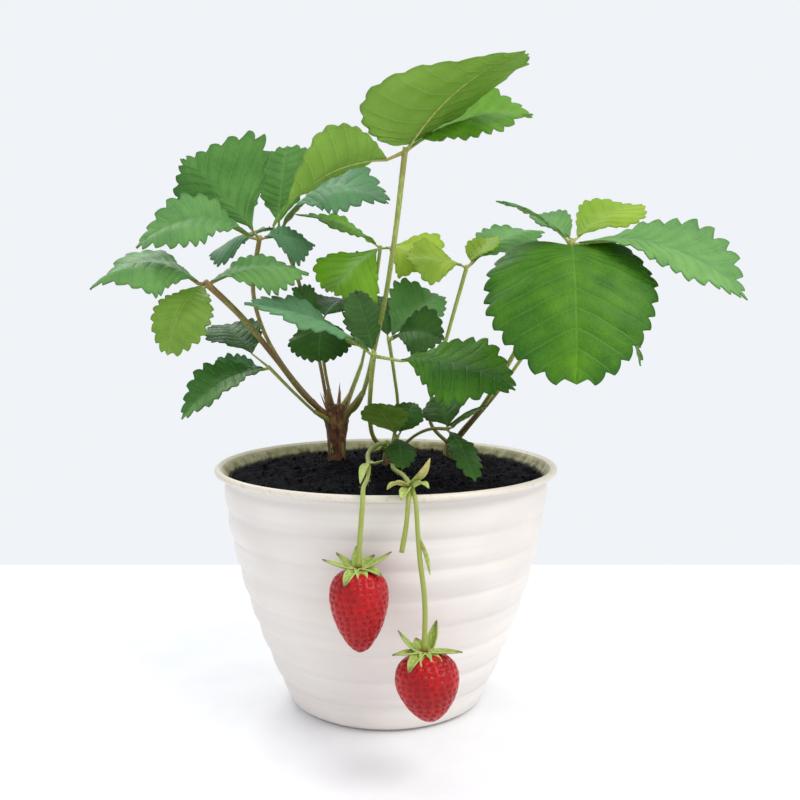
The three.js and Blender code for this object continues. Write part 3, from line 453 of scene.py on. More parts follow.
def leaflet_blade(bm, end, teeth, seed, turn, rise, span, arch, left, right, tones, finish=0, foot=3,
                  form=OVAL, cut=1.0):
    """
    A leaflet's toothed, quilted blade, as one sheet whose faces look the way of its upper side. It
    leaves the stalk's end at a turn and a rise, in degrees, and its midrib arches up from a straight
    span. Each half has a width, the angle that it is folded up and the angle swept to the tip. The
    tones are those of the foot, the tip and both margins, from deep to fresh, and cut is the share
    of the teeth's full depth.
    """
    turn, rise = math.radians(turn), math.radians(rise)
    way = np.array((math.cos(rise) * math.cos(turn), math.cos(rise) * math.sin(turn), math.sin(rise)))
    outward = np.array((math.sin(turn), -math.cos(turn), 0.0))
    base, tip = end + foot * way, end + (foot + span) * way
    control = (base + tip) / 2 + 2 * arch * np.cross(outward, way)

    def rib(y):
        y = y[..., None]
        return (1 - y) ** 2 * base + 2 * y * (1 - y) * control + y * y * tip

    def rib_way(y):
        y = np.clip(y, 0, 1)[..., None]
        return unit((1 - y) * (control - base) + y * (tip - control))

    def under_rib(y, drop):
        return rib(y) - drop * np.cross(outward, rib_way(y))

    length = np.linalg.norm(np.diff(rib(np.linspace(0, 1, 60)), axis=0), axis=1).sum()
    sides = []
    for sign, (width, *angles) in ((-1, left), (1, right)):
        fold, sweep = (math.radians(angle) for angle in angles)
        level = width * math.cos(sweep)
        sides.append((sign * level * math.cos(fold), level * math.sin(fold), width * math.sin(sweep)))
    sides = np.array(sides)
    half = (left[0] + right[0]) / 2 / length

    rows = margin_rows(teeth)
    edge, tooth, root = blade_outline(half, form, rows)
    vein = np.array([row[2] for row in rows])
    spread = np.linspace(-1, 1, 2 * COLUMNS + 1)
    across = np.sign(spread) * (1 - (1 - np.abs(spread)) ** 1.3)
    a = np.abs(across)[None, :]
    x = edge[:, :1] * a + cut * tooth[:, :1] * a**5
    y = root[:, None] + (edge[:, 1:] - root[:, None]) * a**1.12 + cut * tooth[:, 1:] * a**5

    along = rib_way(y)
    lift = np.cross(outward, along)
    share = (x / half)[..., None]
    side = sides[(across >= 0).astype(int)][None, :, :]
    points = (rib(y) + outward * side[..., :1] * share + lift * side[..., 1:2] * share**2
              + along * side[..., 2:] * share)

    face = unit(np.cross(np.gradient(points, axis=1), np.gradient(points, axis=0)) + 1e-9 * lift)
    rng = np.random.default_rng(seed)
    p1, p2, p3, p4 = rng.uniform(0, 2 * np.pi, 4)
    size = min(1.0, length / 60)
    phase = (vein - np.floor(vein))[:, None]
    reach = x * length
    quilt = np.sin(np.pi * phase) ** 0.8 * np.clip(a / 0.2, 0, 1) * (1 - 0.7 * a**3)
    height = RELIEF * size * quilt
    height -= 0.55 * RELIEF * size * np.exp(-((reach / (2.2 * size)) ** 2))
    sign = np.sign(across)[None, :]
    fade = np.clip((TIP_REACH - y) / 0.12, 0, 1) * a**2.5
    height += size * 0.7 * fade * np.sin(2.1 * vein[:, None] + p1 + sign * p2)
    height += size * 0.8 * a**2 * np.sin(0.9 * vein[:, None] + p3 + sign) * np.clip(1.1 - y, 0, 1)
    height += 0.35 * size * np.sin(reach * 0.35 + y * 11 + p4) * np.clip(a / 0.3, 0, 1)
    points += face * (height * np.clip(y / 0.12, 0, 1))[..., None]

    at_base, at_tip, at_left, at_right = tones
    rim_tone = np.where(across < 0, at_left, at_right)[None, :]
    tone = (at_base * (1 - y) + at_tip * y) * (1 - a) + rim_tone * a

    blade = bm.verts.layers.float_vector.get("blade") or bm.verts.layers.float_vector.new("blade")
    shade = bm.verts.layers.float.get("tone") or bm.verts.layers.float.new("tone")
    count = len(rows) - 1
    verts = bmesh.ops.create_grid(bm, x_segments=2 * COLUMNS, y_segments=count, size=1)["verts"]
    for vert in verts:
        i = round((vert.co.x + 1) * COLUMNS)
        j = round((vert.co.y + 1) * count / 2)
        vert.co = points[j, i] / 1000
        vert[blade] = (reach[j, i] / 10, abs(across[i]), vein[j] + 8)
        vert[shade] = tone[j, i]
    for found in {face for vert in verts for face in vert.link_faces}:
        found.material_index = 2 * finish
    bmesh.ops.remove_doubles(bm, verts=verts, dist=2e-6)
    return under_rib


def swept_stem(bm, route, radii, sides=12):
    """A round stem along a route, one ring of edges at each of its points, closed at both ends."""
    route = [Vector(p) / 1000 for p in route]
    ways = [(b - a).normalized() for a, b in zip(route, route[1:])]
    ways = [ways[0], *[(a + b).normalized() for a, b in zip(ways, ways[1:])], ways[-1]]
    turn = ways[0].to_track_quat("Z", "Y")
    frames = []
    for before, way, point, radius in zip([ways[0], *ways], ways, route, radii):
        turn = before.rotation_difference(way) @ turn
        frames.append(Matrix.Translation(point) @ turn.to_matrix().to_4x4()
                      @ Matrix.Scale(max(radius, 0.02) / 1000, 4))
    ring = bmesh.ops.create_circle(bm, segments=sides, radius=1, matrix=frames[0])["verts"]
    edges = list({edge for vert in ring for edge in vert.link_edges})
    bmesh.ops.contextual_create(bm, geom=edges)
    for before, after in zip(frames, frames[1:]):
        made = bmesh.ops.extrude_edge_only(bm, edges=edges)["geom"]
        verts = [part for part in made if isinstance(part, bmesh.types.BMVert)]
        edges = [part for part in made if isinstance(part, bmesh.types.BMEdge) and part.is_boundary]
        bmesh.ops.transform(bm, matrix=after @ before.inverted(), verts=verts)
    bmesh.ops.contextual_create(bm, geom=edges)


def thicken(sheet, thickness, back=0):
    """Gives a sheet its thickness, half to each side. Its back wears the finish that many on."""
    wall = sheet.modifiers.new("thickness", "SOLIDIFY")
    wall.thickness, wall.offset, wall.material_offset = thickness, 0.0, back


def leaf_pattern():
    """Veins, net, relief and colour of a leaf's face, shared by all leaf materials."""
    group = bpy.data.node_groups.new("leaf_pattern", "ShaderNodeTree")
    for name in ("Deep", "Fresh", "Vein", "Margin"):
        group.interface.new_socket(name, in_out="INPUT", socket_type="NodeSocketColor")
    for name, kind in (("Color", "Color"), ("Height", "Float"), ("Roughness", "Float")):
        group.interface.new_socket(name, in_out="OUTPUT", socket_type="NodeSocket" + kind)
    given = group.nodes.new("NodeGroupInput").outputs
    result = group.nodes.new("NodeGroupOutput").inputs
    blade = node(group, "Attribute", attribute_name="blade").outputs["Vector"]
    tone = node(group, "Attribute", attribute_name="tone").outputs["Fac"]
    reach, share, vein = node(group, "SeparateXYZ", {0: blade}).outputs
    beside = maths(group, "PINGPONG", vein, 0.5)
    lateral = maths(group, "MULTIPLY", ramp(group, beside, 0.015, 0.085, 1.0, 0.0),
                    ramp(group, share, 0.7, 1.0, 1.0, 0.45))
    midrib = ramp(group, reach, 0.02, 0.085, 1.0, 0.0)
    ribs = maths(group, "MAXIMUM", lateral, midrib)
    grid = node(group, "Mapping", {"Vector": blade, "Scale": (3.4, 0.0, 2.6)}).outputs[0]
    cells = node(group, "TexVoronoi", {"Vector": grid, "Scale": 1.0}, feature="DISTANCE_TO_EDGE")
    net = ramp(group, cells.outputs[0], 0.0, 0.11, 1.0, 0.0)
    fine_grid = node(group, "Mapping", {"Vector": blade, "Scale": (11.0, 0.0, 8.0)}).outputs[0]
    fine = node(group, "TexVoronoi", {"Vector": fine_grid, "Scale": 1.0},
                feature="DISTANCE_TO_EDGE").outputs[0]
    place = node(group, "TexCoord").outputs["Object"]
    cloud = mottle(group, place, 55.0, 2.0)
    grain = mottle(group, place, 900.0, 3.0, 0.6)
    mix = maths(group, "ADD", tone, ramp(group, cloud, 0.3, 0.7, -0.22, 0.22))
    # Deeper beside the lateral veins and fresher midway between them: painted shade in the furrows along the
    # veins, and painted light on the bulges between.
    mix = maths(group, "ADD", mix, ramp(group, beside, 0.0, 0.5, -0.08, 0.08))
    mix = maths(group, "ADD", mix, ramp(group, grain, 0.3, 0.7, -0.09, 0.09))
    color = blend(group, node(group, "Clamp", {0: mix}).outputs[0], given["Deep"], given["Fresh"])
    color = blend(group, maths(group, "MULTIPLY", net, 0.12), color, given["Vein"])
    color = blend(group, maths(group, "MULTIPLY", ribs, 0.3), color, given["Vein"])
    color = blend(group, ramp(group, share, 0.93, 1.0, 0.0, 0.35), color, given["Margin"])
    height = maths(group, "MULTIPLY", ribs, 0.6)
    height = maths(group, "ADD", height, maths(group, "MULTIPLY", net, 0.28))
    height = maths(group, "ADD", height, ramp(group, fine, 0.0, 0.2, 0.1, 0.0))
    group.links.new(color, result["Color"])
    group.links.new(height, result["Height"])
    rough = maths(group, "ADD", ramp(group, grain, 0.3, 0.7, 0.44, 0.58), maths(group, "MULTIPLY", net, 0.1))
    group.links.new(rough, result["Roughness"])
    return group


def leaf_finish(name, deep, fresh, vein, glow, share, margin, raised=False):
    """A leaf's face: ribs sunk into the upper side or raised on the underside. Light passes through."""
    finish, tree, shader = new_finish(name)
    pattern = tree.nodes.new("ShaderNodeGroup")
    pattern.node_tree = bpy.data.node_groups.get("leaf_pattern") or leaf_pattern()
    for key, color in {"Deep": deep, "Fresh": fresh, "Vein": vein, "Margin": margin}.items():
        pattern.inputs[key].default_value = paint(*color)
    height = pattern.outputs["Height"]
    if not raised:
        height = maths(tree, "SUBTRACT", 1.0, height)
    dress(tree, shader, pattern.outputs["Color"], pattern.outputs["Roughness"], height,
          0.0006 if raised else 0.0005, 0.6)
    shader.inputs["Specular IOR Level"].default_value = 0.2 if raised else 0.3
    through = node(tree, "BsdfTranslucent", {"Color": paint(*glow)}).outputs[0]
    both = node(tree, "MixShader", {0: share, 1: shader.outputs[0], 2: through}).outputs[0]
    tree.links.new(both, tree.nodes["Material Output"].inputs["Surface"])
    return finish


def stalk_finish(name, green, dark, flush, foot=(112, 62, 38)):
    """A stalk's skin: fine lengthwise streaks, flushed in places, and brown towards its foot."""
    finish, tree, shader = new_finish(name)
    place = object_place(tree)
    height = node(tree, "SeparateXYZ", {0: place}).outputs[2]
    streaks = mottle(tree, object_place(tree, (1, 1, 0.12)), 1400.0, 3.0)
    patches = mottle(tree, place, 45.0, 2.0)
    skin = blend(tree, ramp(tree, streaks, 0.35, 0.65), paint(*green), paint(*dark))
    skin = blend(tree, ramp(tree, patches, 0.48, 0.66, 0.0, 0.75), skin, paint(*flush))
    skin = blend(tree, ramp(tree, height, 0.146, 0.172, 0.85, 0.0), skin, paint(*foot))
    dress(tree, shader, skin, ramp(tree, streaks, 0.3, 0.7, 0.42, 0.6), streaks, 0.0003, 0.6)
    return finish


def compound_leaf(name, crown, radius, teeth, stalk, leaflets, faces, skin):
    """A whole leaf: its stalk from inside the crown, and its leaflets with their short stems."""
    (x, y), top = crown
    first = (1000 * x, 1000 * y, min(stalk[0][2] - 5, top - 5))
    route = smooth_route([first, *stalk], STALK_STEPS)
    before, end = (np.array(point, float) for point in stalk[-2:])
    hub = end + HUB_DEPTH * radius * unit(before - end)
    bm = bmesh.new()
    count = len(route) - 1
    radii = [radius * (1.0 + 0.16 * math.exp(-((i / count) / 0.05) ** 2)
                       - 0.16 * math.sin(math.pi * i / count)) for i in range(count + 1)]
    swept_stem(bm, route, radii)
    haired_stalks.append((route, radii))
    if crown == MAIN:
        foot = np.array((first[0], first[1], 0.0))
        away = unit((np.array(stalk[0], float) - foot) * (1, 1, 0))
        sheath = [foot + out * away + (0, 0, z) for out, z in SHEATH]
        sheath = smooth_route([*sheath, route[STALK_STEPS + 4]], 6)
        swept_stem(bm, sheath, np.linspace(2.6, 1.1 * radius, len(sheath)))
    blades = bmesh.new()
    for number, leaflet in enumerate(leaflets):
        under_rib = leaflet_blade(blades, end, teeth, 17 * number + len(name) + teeth, **leaflet)
        shares = np.linspace(0.0, 0.82, 12)
        widths = 0.5 * radius * (1 - 0.95 * shares)
        path = [under_rib(s, 0.2 + 0.75 * width) for s, width in zip(shares, widths)]
        swept_stem(bm, [hub, (hub + path[0]) / 2, *path], [0.75 * radius, 0.6 * radius, *widths], 8)
    place_piece(name + "_stalk", bm, [skin])
    slots = [finish for pair in faces for finish in pair]
    thicken(place_piece(name + "_leaflets", blades, slots, "leaf_" + name), BLADE_THICKNESS, 1)


MAIN = (MAIN_CROWN, 153)
olive_stalk = stalk_finish("olive_stalk", (172, 182, 100), (138, 150, 66), (150, 144, 72),
                           foot=(118, 96, 46))
fresh_upper = leaf_finish("fresh_upper", (86, 144, 36), (130, 182, 54), (150, 190, 84),
                          (150, 192, 36), 0.32, margin=(92, 120, 54))
olive_under = leaf_finish("olive_under", (118, 158, 56), (150, 190, 82), (168, 200, 110),
                          (150, 190, 40), 0.34, raised=True, margin=(110, 128, 76))

compound_leaf(
    "tall", MAIN, 1.5, 10,
    [(-18, 34, 152), (-4, 6, 197), (4, -20, 239), (10, -28, 287)],
    [dict(turn=-35, rise=30, span=70, arch=6, left=(36, 10, 0), right=(46, 22, -50), cut=0.5,
          tones=(0.3, 0.5, 0.6, 0.9)),
     dict(turn=-153, rise=-30, span=66, arch=8, left=(26, 50, -30), right=(18, -20, -35), foot=12,
          cut=0.3, tones=(0.5, 0.3, 0.7, 0.5)),
     dict(turn=30, rise=16, span=74, arch=6, left=(28, 35, 35), right=(32, -20, -30), form=BLUNT,
          tones=(0.3, 0.5, 0.5, 0.4))],
    [(fresh_upper, olive_under)], olive_stalk)


# ---- The front leaf on the right ----
# The largest leaf, on a stalk from the side crown. One leaflet hangs down flat in front and shows
# its deep green upper side.
SIDE = ((0.038, 0.060), 131)
rich_upper = leaf_finish("rich_upper", (38, 96, 16), (94, 152, 20), (118, 166, 50),
                         (90, 150, 12), 0.2, margin=(30, 76, 20))
# A leaf's upper side with a painted sheen: its paler grey-green stands in for light glancing off the leaf.
painted_sheen_upper = leaf_finish("painted_sheen_upper", (84, 138, 74), (128, 182, 96), (146, 194, 114),
                         (110, 170, 44), 0.25, margin=(68, 112, 56))
pale_under = leaf_finish("pale_under", (106, 152, 76), (148, 188, 98), (164, 200, 120),
                         (120, 170, 44), 0.3, raised=True, margin=(104, 136, 76))
compound_leaf(
    "right_front", SIDE, 1.5, 11,
    [(42, 46, 136), (52, 28, 152), (66, -6, 184), (80, -34, 220), (89, -46, 241)],
    [dict(turn=-95, rise=-60, span=70, arch=10, left=(36, -12, 0), right=(40, -12, 0), form=HEART,
          tones=(0.4, 0.95, 0.25, 0.25)),
     dict(turn=-6, rise=-18, span=80, arch=10, left=(35, 30, 10), right=(22, -25, 0), form=BLUNT,
          tones=(0.6, 0.5, 0.4, 0.8), finish=1),
     dict(turn=160, rise=28, span=38, arch=3, left=(12, 0, 0), right=(14, -5, 0),
          tones=(0.4, 0.3, 0.3, 0.4), finish=1)],
    [(rich_upper, pale_under), (painted_sheen_upper, pale_under)], olive_stalk)


# ---- The back leaf on the right ----
# A smaller leaf on the side crown, behind the front one. One leaflet stands up against the light,
# yellow-green, and the longest is narrow and hangs down.
yellow_upper = leaf_finish("yellow_upper", (118, 162, 44), (190, 212, 80), (206, 224, 120),
                           (190, 220, 40), 0.42, margin=(120, 150, 60))
yellow_under = leaf_finish("yellow_under", (126, 168, 62), (184, 208, 92), (204, 222, 130),
                           (190, 220, 40), 0.42, raised=True, margin=(120, 150, 60))
compound_leaf(
    "right_back", SIDE, 1.2, 8,
    [(48, 52, 140), (66, 36, 166), (88, 18, 206), (99, 10, 245)],
    [dict(turn=27, rise=25, span=42, arch=2, left=(22, 20, 5), right=(20, -15, -5), form=BLUNT,
          tones=(0.3, 0.5, 0.4, 0.5)),
     dict(turn=-6, rise=-61, span=72, arch=5, left=(14, 10, 0), right=(12, 10, 0),
          tones=(0.4, 0.5, 0.4, 0.4), finish=1),
     dict(turn=127, rise=25, span=30, arch=2, left=(13, 0, -15), right=(13, 20, 10),
          tones=(0.4, 0.6, 0.4, 0.4), finish=1)],
    [(yellow_upper, yellow_under), (painted_sheen_upper, pale_under)], olive_stalk)


# ---- The yellow leaf ----
# A young leaf on the side crown, seen against the light and still partly folded. Two of its
# leaflets are a pale yellow-green.
light_stalk = stalk_finish("light_stalk", (176, 192, 104), (146, 164, 72), (160, 164, 84),
                           foot=(140, 138, 66))
compound_leaf(
    "yellow", SIDE, 1.2, 8,
    [(25, 48, 142), (26, 46, 160), (34, 42, 192), (45, 40, 232)],
    [dict(turn=-173, rise=5, span=30, arch=1, left=(20, -40, 0), right=(23, 30, 0), form=BLUNT,
          tones=(0.9, 0.5, 0.5, 0.7)),
     dict(turn=15, rise=42, span=20, arch=1, left=(12, 30, -15), right=(13, -10, 5),
          tones=(0.9, 0.6, 0.6, 0.4)),
     dict(turn=26, rise=22, span=50, arch=5, left=(18, 20, -10), right=(13, -30, 0),
          tones=(0.4, 0.6, 0.4, 0.5), finish=1)],
    [(yellow_upper, yellow_under), (painted_sheen_upper, pale_under)], light_stalk)


# ---- The bright leaf ----
# A leaf in the middle of the plant, on a slender stalk from the main crown. It is lit from behind
# and has bright green leaflets.
bright_upper = leaf_finish("bright_upper", (64, 124, 28), (154, 206, 62), (176, 216, 96),
                           (160, 214, 40), 0.4, margin=(66, 116, 40))
compound_leaf(
    "bright", MAIN, 1.1, 8,
    [(-18, 60, 166), (-10, 64, 202), (-4, 66, 244)],
    [dict(turn=-157, rise=18, span=50, arch=3, left=(15, -20, -5), right=(22, 20, -30),
          tones=(0.3, 0.2, 0.4, 0.2)),
     dict(turn=-143, rise=-38, span=40, arch=2, left=(26, -35, 15), right=(22, 25, 0), form=BLUNT,
          tones=(0.9, 0.7, 0.8, 0.7)),
     dict(turn=-15, rise=-21, span=30, arch=3, left=(27, 30, 0), right=(20, -45, 0), form=BLUNT,
          tones=(0.9, 0.8, 0.7, 0.8), finish=1)],
    [(bright_upper, yellow_under), (yellow_upper, yellow_under)], light_stalk)


# ---- The middle leaf on the right ----
# A small leaf on the branch crown, half hidden by the tall stalk. One leaflet is grey-green from a
# painted sheen, and the other two are dark.
BRANCH = ((0.002, 0.032), 131)
dark_upper = leaf_finish("dark_upper", (26, 64, 20), (68, 120, 34), (94, 142, 58),
                         (60, 120, 10), 0.15, margin=(22, 50, 18))
compound_leaf(
    "mid_right", BRANCH, 1.1, 8,
    [(6, 38, 150), (4, 30, 172), (1, 22, 192)],
    [dict(turn=39, rise=30, span=41, arch=3, left=(22, 35, 10), right=(13, -30, -5), form=BLUNT,
          tones=(0.4, 0.4, 0.4, 0.3)),
     dict(turn=-35, rise=0, span=32, arch=4, left=(13, 65, -15), right=(19, -33, 15), form=BLUNT,
          tones=(0.6, 0.4, 0.5, 0.5), finish=1),
     dict(turn=101, rise=33, span=38, arch=2, left=(11, 10, 0), right=(11, -5, 0),
          tones=(0.5, 0.4, 0.4, 0.4), finish=1)],
    [(painted_sheen_upper, pale_under), (dark_upper, pale_under)], light_stalk)


# ---- The front leaf ----
# A broad leaf on the branch crown, in front of the main one. One leaflet arches to the left, and a
# deep green one is held out to the right on a longer stem.
teal_upper = leaf_finish("teal_upper", (72, 120, 80), (106, 160, 104), (128, 178, 122),
                         (90, 160, 50), 0.2, margin=(58, 100, 62))
compound_leaf(
    "front", BRANCH, 1.4, 9,
    [(-7, 20, 137), (-9, 10, 150), (-8, -3, 168), (-6, -14, 186)],
    [dict(turn=-149, rise=20, span=70, arch=4, left=(28, -15, 15), right=(31, 20, -15),
          tones=(0.6, 0.3, 0.7, 0.2)),
     dict(turn=105, rise=36, span=50, arch=2, left=(17, 20, -40), right=(10, -10, 20),
          tones=(0.4, 0.3, 0.4, 0.3), finish=1),
     dict(turn=-29, rise=-11, span=62, arch=5, left=(24, 25, -15), right=(22, -45, 0), foot=16,
          tones=(0.3, 0.2, 0.7, 0.3), finish=2)],
    [(teal_upper, pale_under), (dark_upper, pale_under), (rich_upper, pale_under)], light_stalk)


# ---- The leaf on the left ----
# A wide leaf on the thickest stalk, which leans out from the main crown past the rim. The lowest
# leaflet turns its underside out.
brown_stalk = stalk_finish("brown_stalk", (154, 146, 82), (126, 112, 56), (132, 92, 52))
compound_leaf(
    "left", MAIN, 1.8, 9,
    [(-36, 38, 149), (-46, 28, 160), (-60, 12, 182), (-75, -4, 204), (-91, -18, 222)],
    [dict(turn=-172, rise=-3, span=52, arch=11, left=(26, -40, -15), right=(34, 12, 0),
          tones=(0.5, 0.5, 0.6, 0.3)),
     dict(turn=20, rise=5, span=50, arch=5, left=(13, 25, -8), right=(18, -38, 0),
          tones=(0.4, 0.4, 0.3, 0.6)),
     dict(turn=-111, rise=-45, span=45, arch=6, left=(18, 0, 5), right=(12, 15, -20), form=BLUNT,
          tones=(0.3, 0.4, 0.4, 0.2), finish=1)],
    [(painted_sheen_upper, olive_under), (olive_under, painted_sheen_upper)], brown_stalk)


# ---- The upper leaf on the left ----
# A leaf on a stalk that bows out from the main crown. One leaflet stands up like a fan, and another
# reaches out to the left.
green_upper = leaf_finish("green_upper", (62, 116, 46), (108, 162, 76), (130, 178, 96),
                          (90, 160, 36), 0.25, margin=(54, 92, 44))
compound_leaf(
    "upper_left", MAIN, 1.3, 9,
    [(-38, 46, 150), (-57, 36, 174), (-68, 27, 196), (-72, 18, 218), (-66, 4, 246)],
    [dict(turn=166, rise=44, span=53, arch=1, left=(22, -75, 15), right=(34, 72, 8), foot=5, form=FAN,
          tones=(0.5, 0.6, 0.2, 0.6)),
     dict(turn=-147, rise=-6, span=60, arch=11, left=(24, -25, 10), right=(18, 45, -35), foot=5,
          tones=(0.4, 0.3, 0.4, 0.3), finish=1),
     dict(turn=45, rise=-5, span=34, arch=2, left=(9, 40, 0), right=(15, -60, -10),
          tones=(0.4, 0.3, 0.4, 0.3), finish=2)],
    [(green_upper, pale_under), (painted_sheen_upper, pale_under), (teal_upper, pale_under)], brown_stalk)


# ---- The upper leaf in the middle ----
# A grey-green leaf on the main crown, behind the tall one. Its largest leaflet is spread to the
# right.
compound_leaf(
    "upper_mid", MAIN, 1.2, 9,
    [(-34, 54, 150), (-40, 50, 182), (-49, 42, 220), (-60, 34, 253)],
    [dict(turn=-15, rise=11, span=60, arch=14, left=(30, 28, -10), right=(26, -33, 8),
          tones=(0.5, 0.6, 0.5, 0.5)),
     dict(turn=84, rise=61, span=50, arch=2, left=(14, 0, -10), right=(17, 0, 5), form=BLUNT,
          tones=(0.5, 0.6, 0.5, 0.5), finish=1),
     dict(turn=148, rise=-17, span=45, arch=3, left=(22, -40, 5), right=(24, 15, 5),
          tones=(0.2, 0.2, 0.2, 0.2))],
    [(teal_upper, pale_under), (green_upper, pale_under)], brown_stalk)


# ---- The low leaves on the left and in the middle ----
# Older leaves on short stalks from the main crown, under the others. They are darker and partly in
# their shade.
compound_leaf(
    "low_left", MAIN, 1.0, 8,
    [(-37, 34, 147), (-50, 22, 161), (-64, 14, 177)],
    [dict(turn=-148, rise=-27, span=51, arch=6, left=(16, -5, 0), right=(13, 40, -20),
          tones=(0.4, 0.6, 0.8, 0.0)),
     dict(turn=165, rise=-15, span=43, arch=3, left=(10, -30, 0), right=(16, 30, 0),
          tones=(0.4, 0.4, 0.4, 0.4), finish=1),
     dict(turn=128, rise=21, span=40, arch=2, left=(15, -10, 5), right=(15, 25, 0), foot=18,
          tones=(0.4, 0.4, 0.4, 0.4), finish=2)],
    [(green_upper, pale_under), (teal_upper, pale_under), (dark_upper, pale_under)], light_stalk)
compound_leaf(
    "low_mid", MAIN, 1.1, 9,
    [(-32, 44, 156), (-36, 39, 180), (-36, 34, 203)],
    [dict(turn=-90, rise=-40, span=32, arch=4, left=(16, -8, 0), right=(16, -8, 0), form=BLUNT,
          tones=(0.5, 0.4, 0.3, 0.5)),
     dict(turn=67, rise=20, span=26, arch=2, left=(13, 15, 0), right=(12, -20, 0),
          tones=(0.4, 0.4, 0.3, 0.5)),
     dict(turn=-160, rise=43, span=20, arch=1, left=(10, -65, 0), right=(8, 65, 0),
          tones=(0.5, 0.4, 0.3, 0.5))],
    [(dark_upper, pale_under)], brown_stalk)


# ---- The young leaves at the front ----
# Two small leaves on the branch crown: one that is still unfolding, and one with a long narrow
# leaflet that hangs almost to the soil.
compound_leaf(
    "young", BRANCH, 1.0, 6,
    [(4, 20, 135), (6, 8, 139), (6, -2, 141)],
    [dict(turn=-133, rise=48, span=22, arch=1, left=(15, 10, 0), right=(14, -15, -5), form=BLUNT,
          tones=(0.4, 0.2, 0.3, 0.3)),
     dict(turn=53, rise=48, span=19, arch=1, left=(9, 20, 5), right=(10, -10, -10),
          tones=(0.6, 0.5, 0.3, 0.8)),
     dict(turn=-84, rise=-24, span=27, arch=2, left=(7, 0, 0), right=(7, 0, 0),
          tones=(0.4, 0.4, 0.3, 0.5))],
    [(dark_upper, olive_under)], light_stalk)
compound_leaf(
    "low_right", BRANCH, 1.0, 6,
    [(10, 26, 133), (16, 18, 139), (24, 6, 144), (33, -2, 145)],
    [dict(turn=-77, rise=-22, span=47, arch=3, left=(6, -5, 0), right=(6, 5, 0),
          tones=(0.7, 0.5, 0.5, 0.6)),
     dict(turn=103, rise=33, span=24, arch=1, left=(11, -20, -10), right=(12, 25, 10),
          tones=(0.5, 0.5, 0.4, 0.5)),
     dict(turn=-37, rise=33, span=21, arch=1, left=(13, 5, 5), right=(13, -10, -15),
          tones=(0.5, 0.4, 0.4, 0.5))],
    [(dark_upper, pale_under)], light_stalk)


# ---- The fruit stem ----
# One forked stem from the branch crown that hangs over the rim. It has swollen knots, small pointed
# bracts, and the stub of a third stalk whose fruit has been picked.
fruit_stalk = stalk_finish("fruit_stalk", (166, 180, 84), (134, 150, 60), (152, 146, 66),
                           foot=(150, 160, 72))
FORK = (0, 14, 135)
STUB_KNOT = (12, -88, 131)
KNOT_RADIUS = 0.0021
ARM_RADIUS = 1.08
BRACT_THICKNESS = 0.0005
bm = bmesh.new()
arms = {
    "foot": [(2, 32, 127), (1, 24, 133), FORK],
    "left": [FORK, (-5, 1, 136), (-9, -13, 134), (-8, -40, 131), (-8, -66, 130), (-9, -88, 130),
             (-9, -97, 126), (-10, -98, 112), (-11, -98, 97.4)],
    "right": [FORK, (3, 0, 130), (4, -30, 129), (9, -62, 131), STUB_KNOT, (14, -98, 127),
              (15, -101, 113), (16, -102, 101), (18, -103, 84), (18, -103, 61.4)],
    "stub": [STUB_KNOT, (11, -97, 127), (10, -99, 116), (8, -99, 104)],
}
for name, points in arms.items():
    route = smooth_route(points, 7)
    count = len(route) - 1
    # The two arms that bear fruit widen where they meet it.
    flare = 0.5 if name in ("left", "right") else 0.0
    radii = [ARM_RADIUS + 0.08 * math.sin(9 * i / count)
             + flare * math.exp(-((1 - i / count) / 0.025) ** 2) for i in range(count + 1)]
    swept_stem(bm, route, radii)
    haired_stalks.append((route, radii))
for at in (FORK, STUB_KNOT):
    matrix = Matrix.Translation(Vector(at) / 1000) @ Matrix.Diagonal((1, 1.25, 0.9, 1))
    bmesh.ops.create_uvsphere(bm, u_segments=20, v_segments=12, radius=KNOT_RADIUS, matrix=matrix)
place_piece("fruit_stem", bm, [fruit_stalk], "truss")


def pointed_strip(bm, spine, across, half_widths, cup):
    """A small pointed leaf along a spine, hollow along its middle, with faces upwards."""
    count = len(spine) - 1
    verts = bmesh.ops.create_grid(bm, x_segments=8, y_segments=count, size=1)["verts"]
    for vert in verts:
        j, share = round((vert.co.y + 1) * count / 2), vert.co.x
        ahead = spine[min(j + 1, count)] - spine[max(j - 1, 0)]
        up = unit(np.cross(across, ahead))
        at = spine[j] + across * share * half_widths[j] + up * cup * half_widths[j] * (share**2 - 0.4)
        vert.co = Vector(at / 1000)
    bmesh.ops.remove_doubles(bm, verts=verts, dist=2e-6)


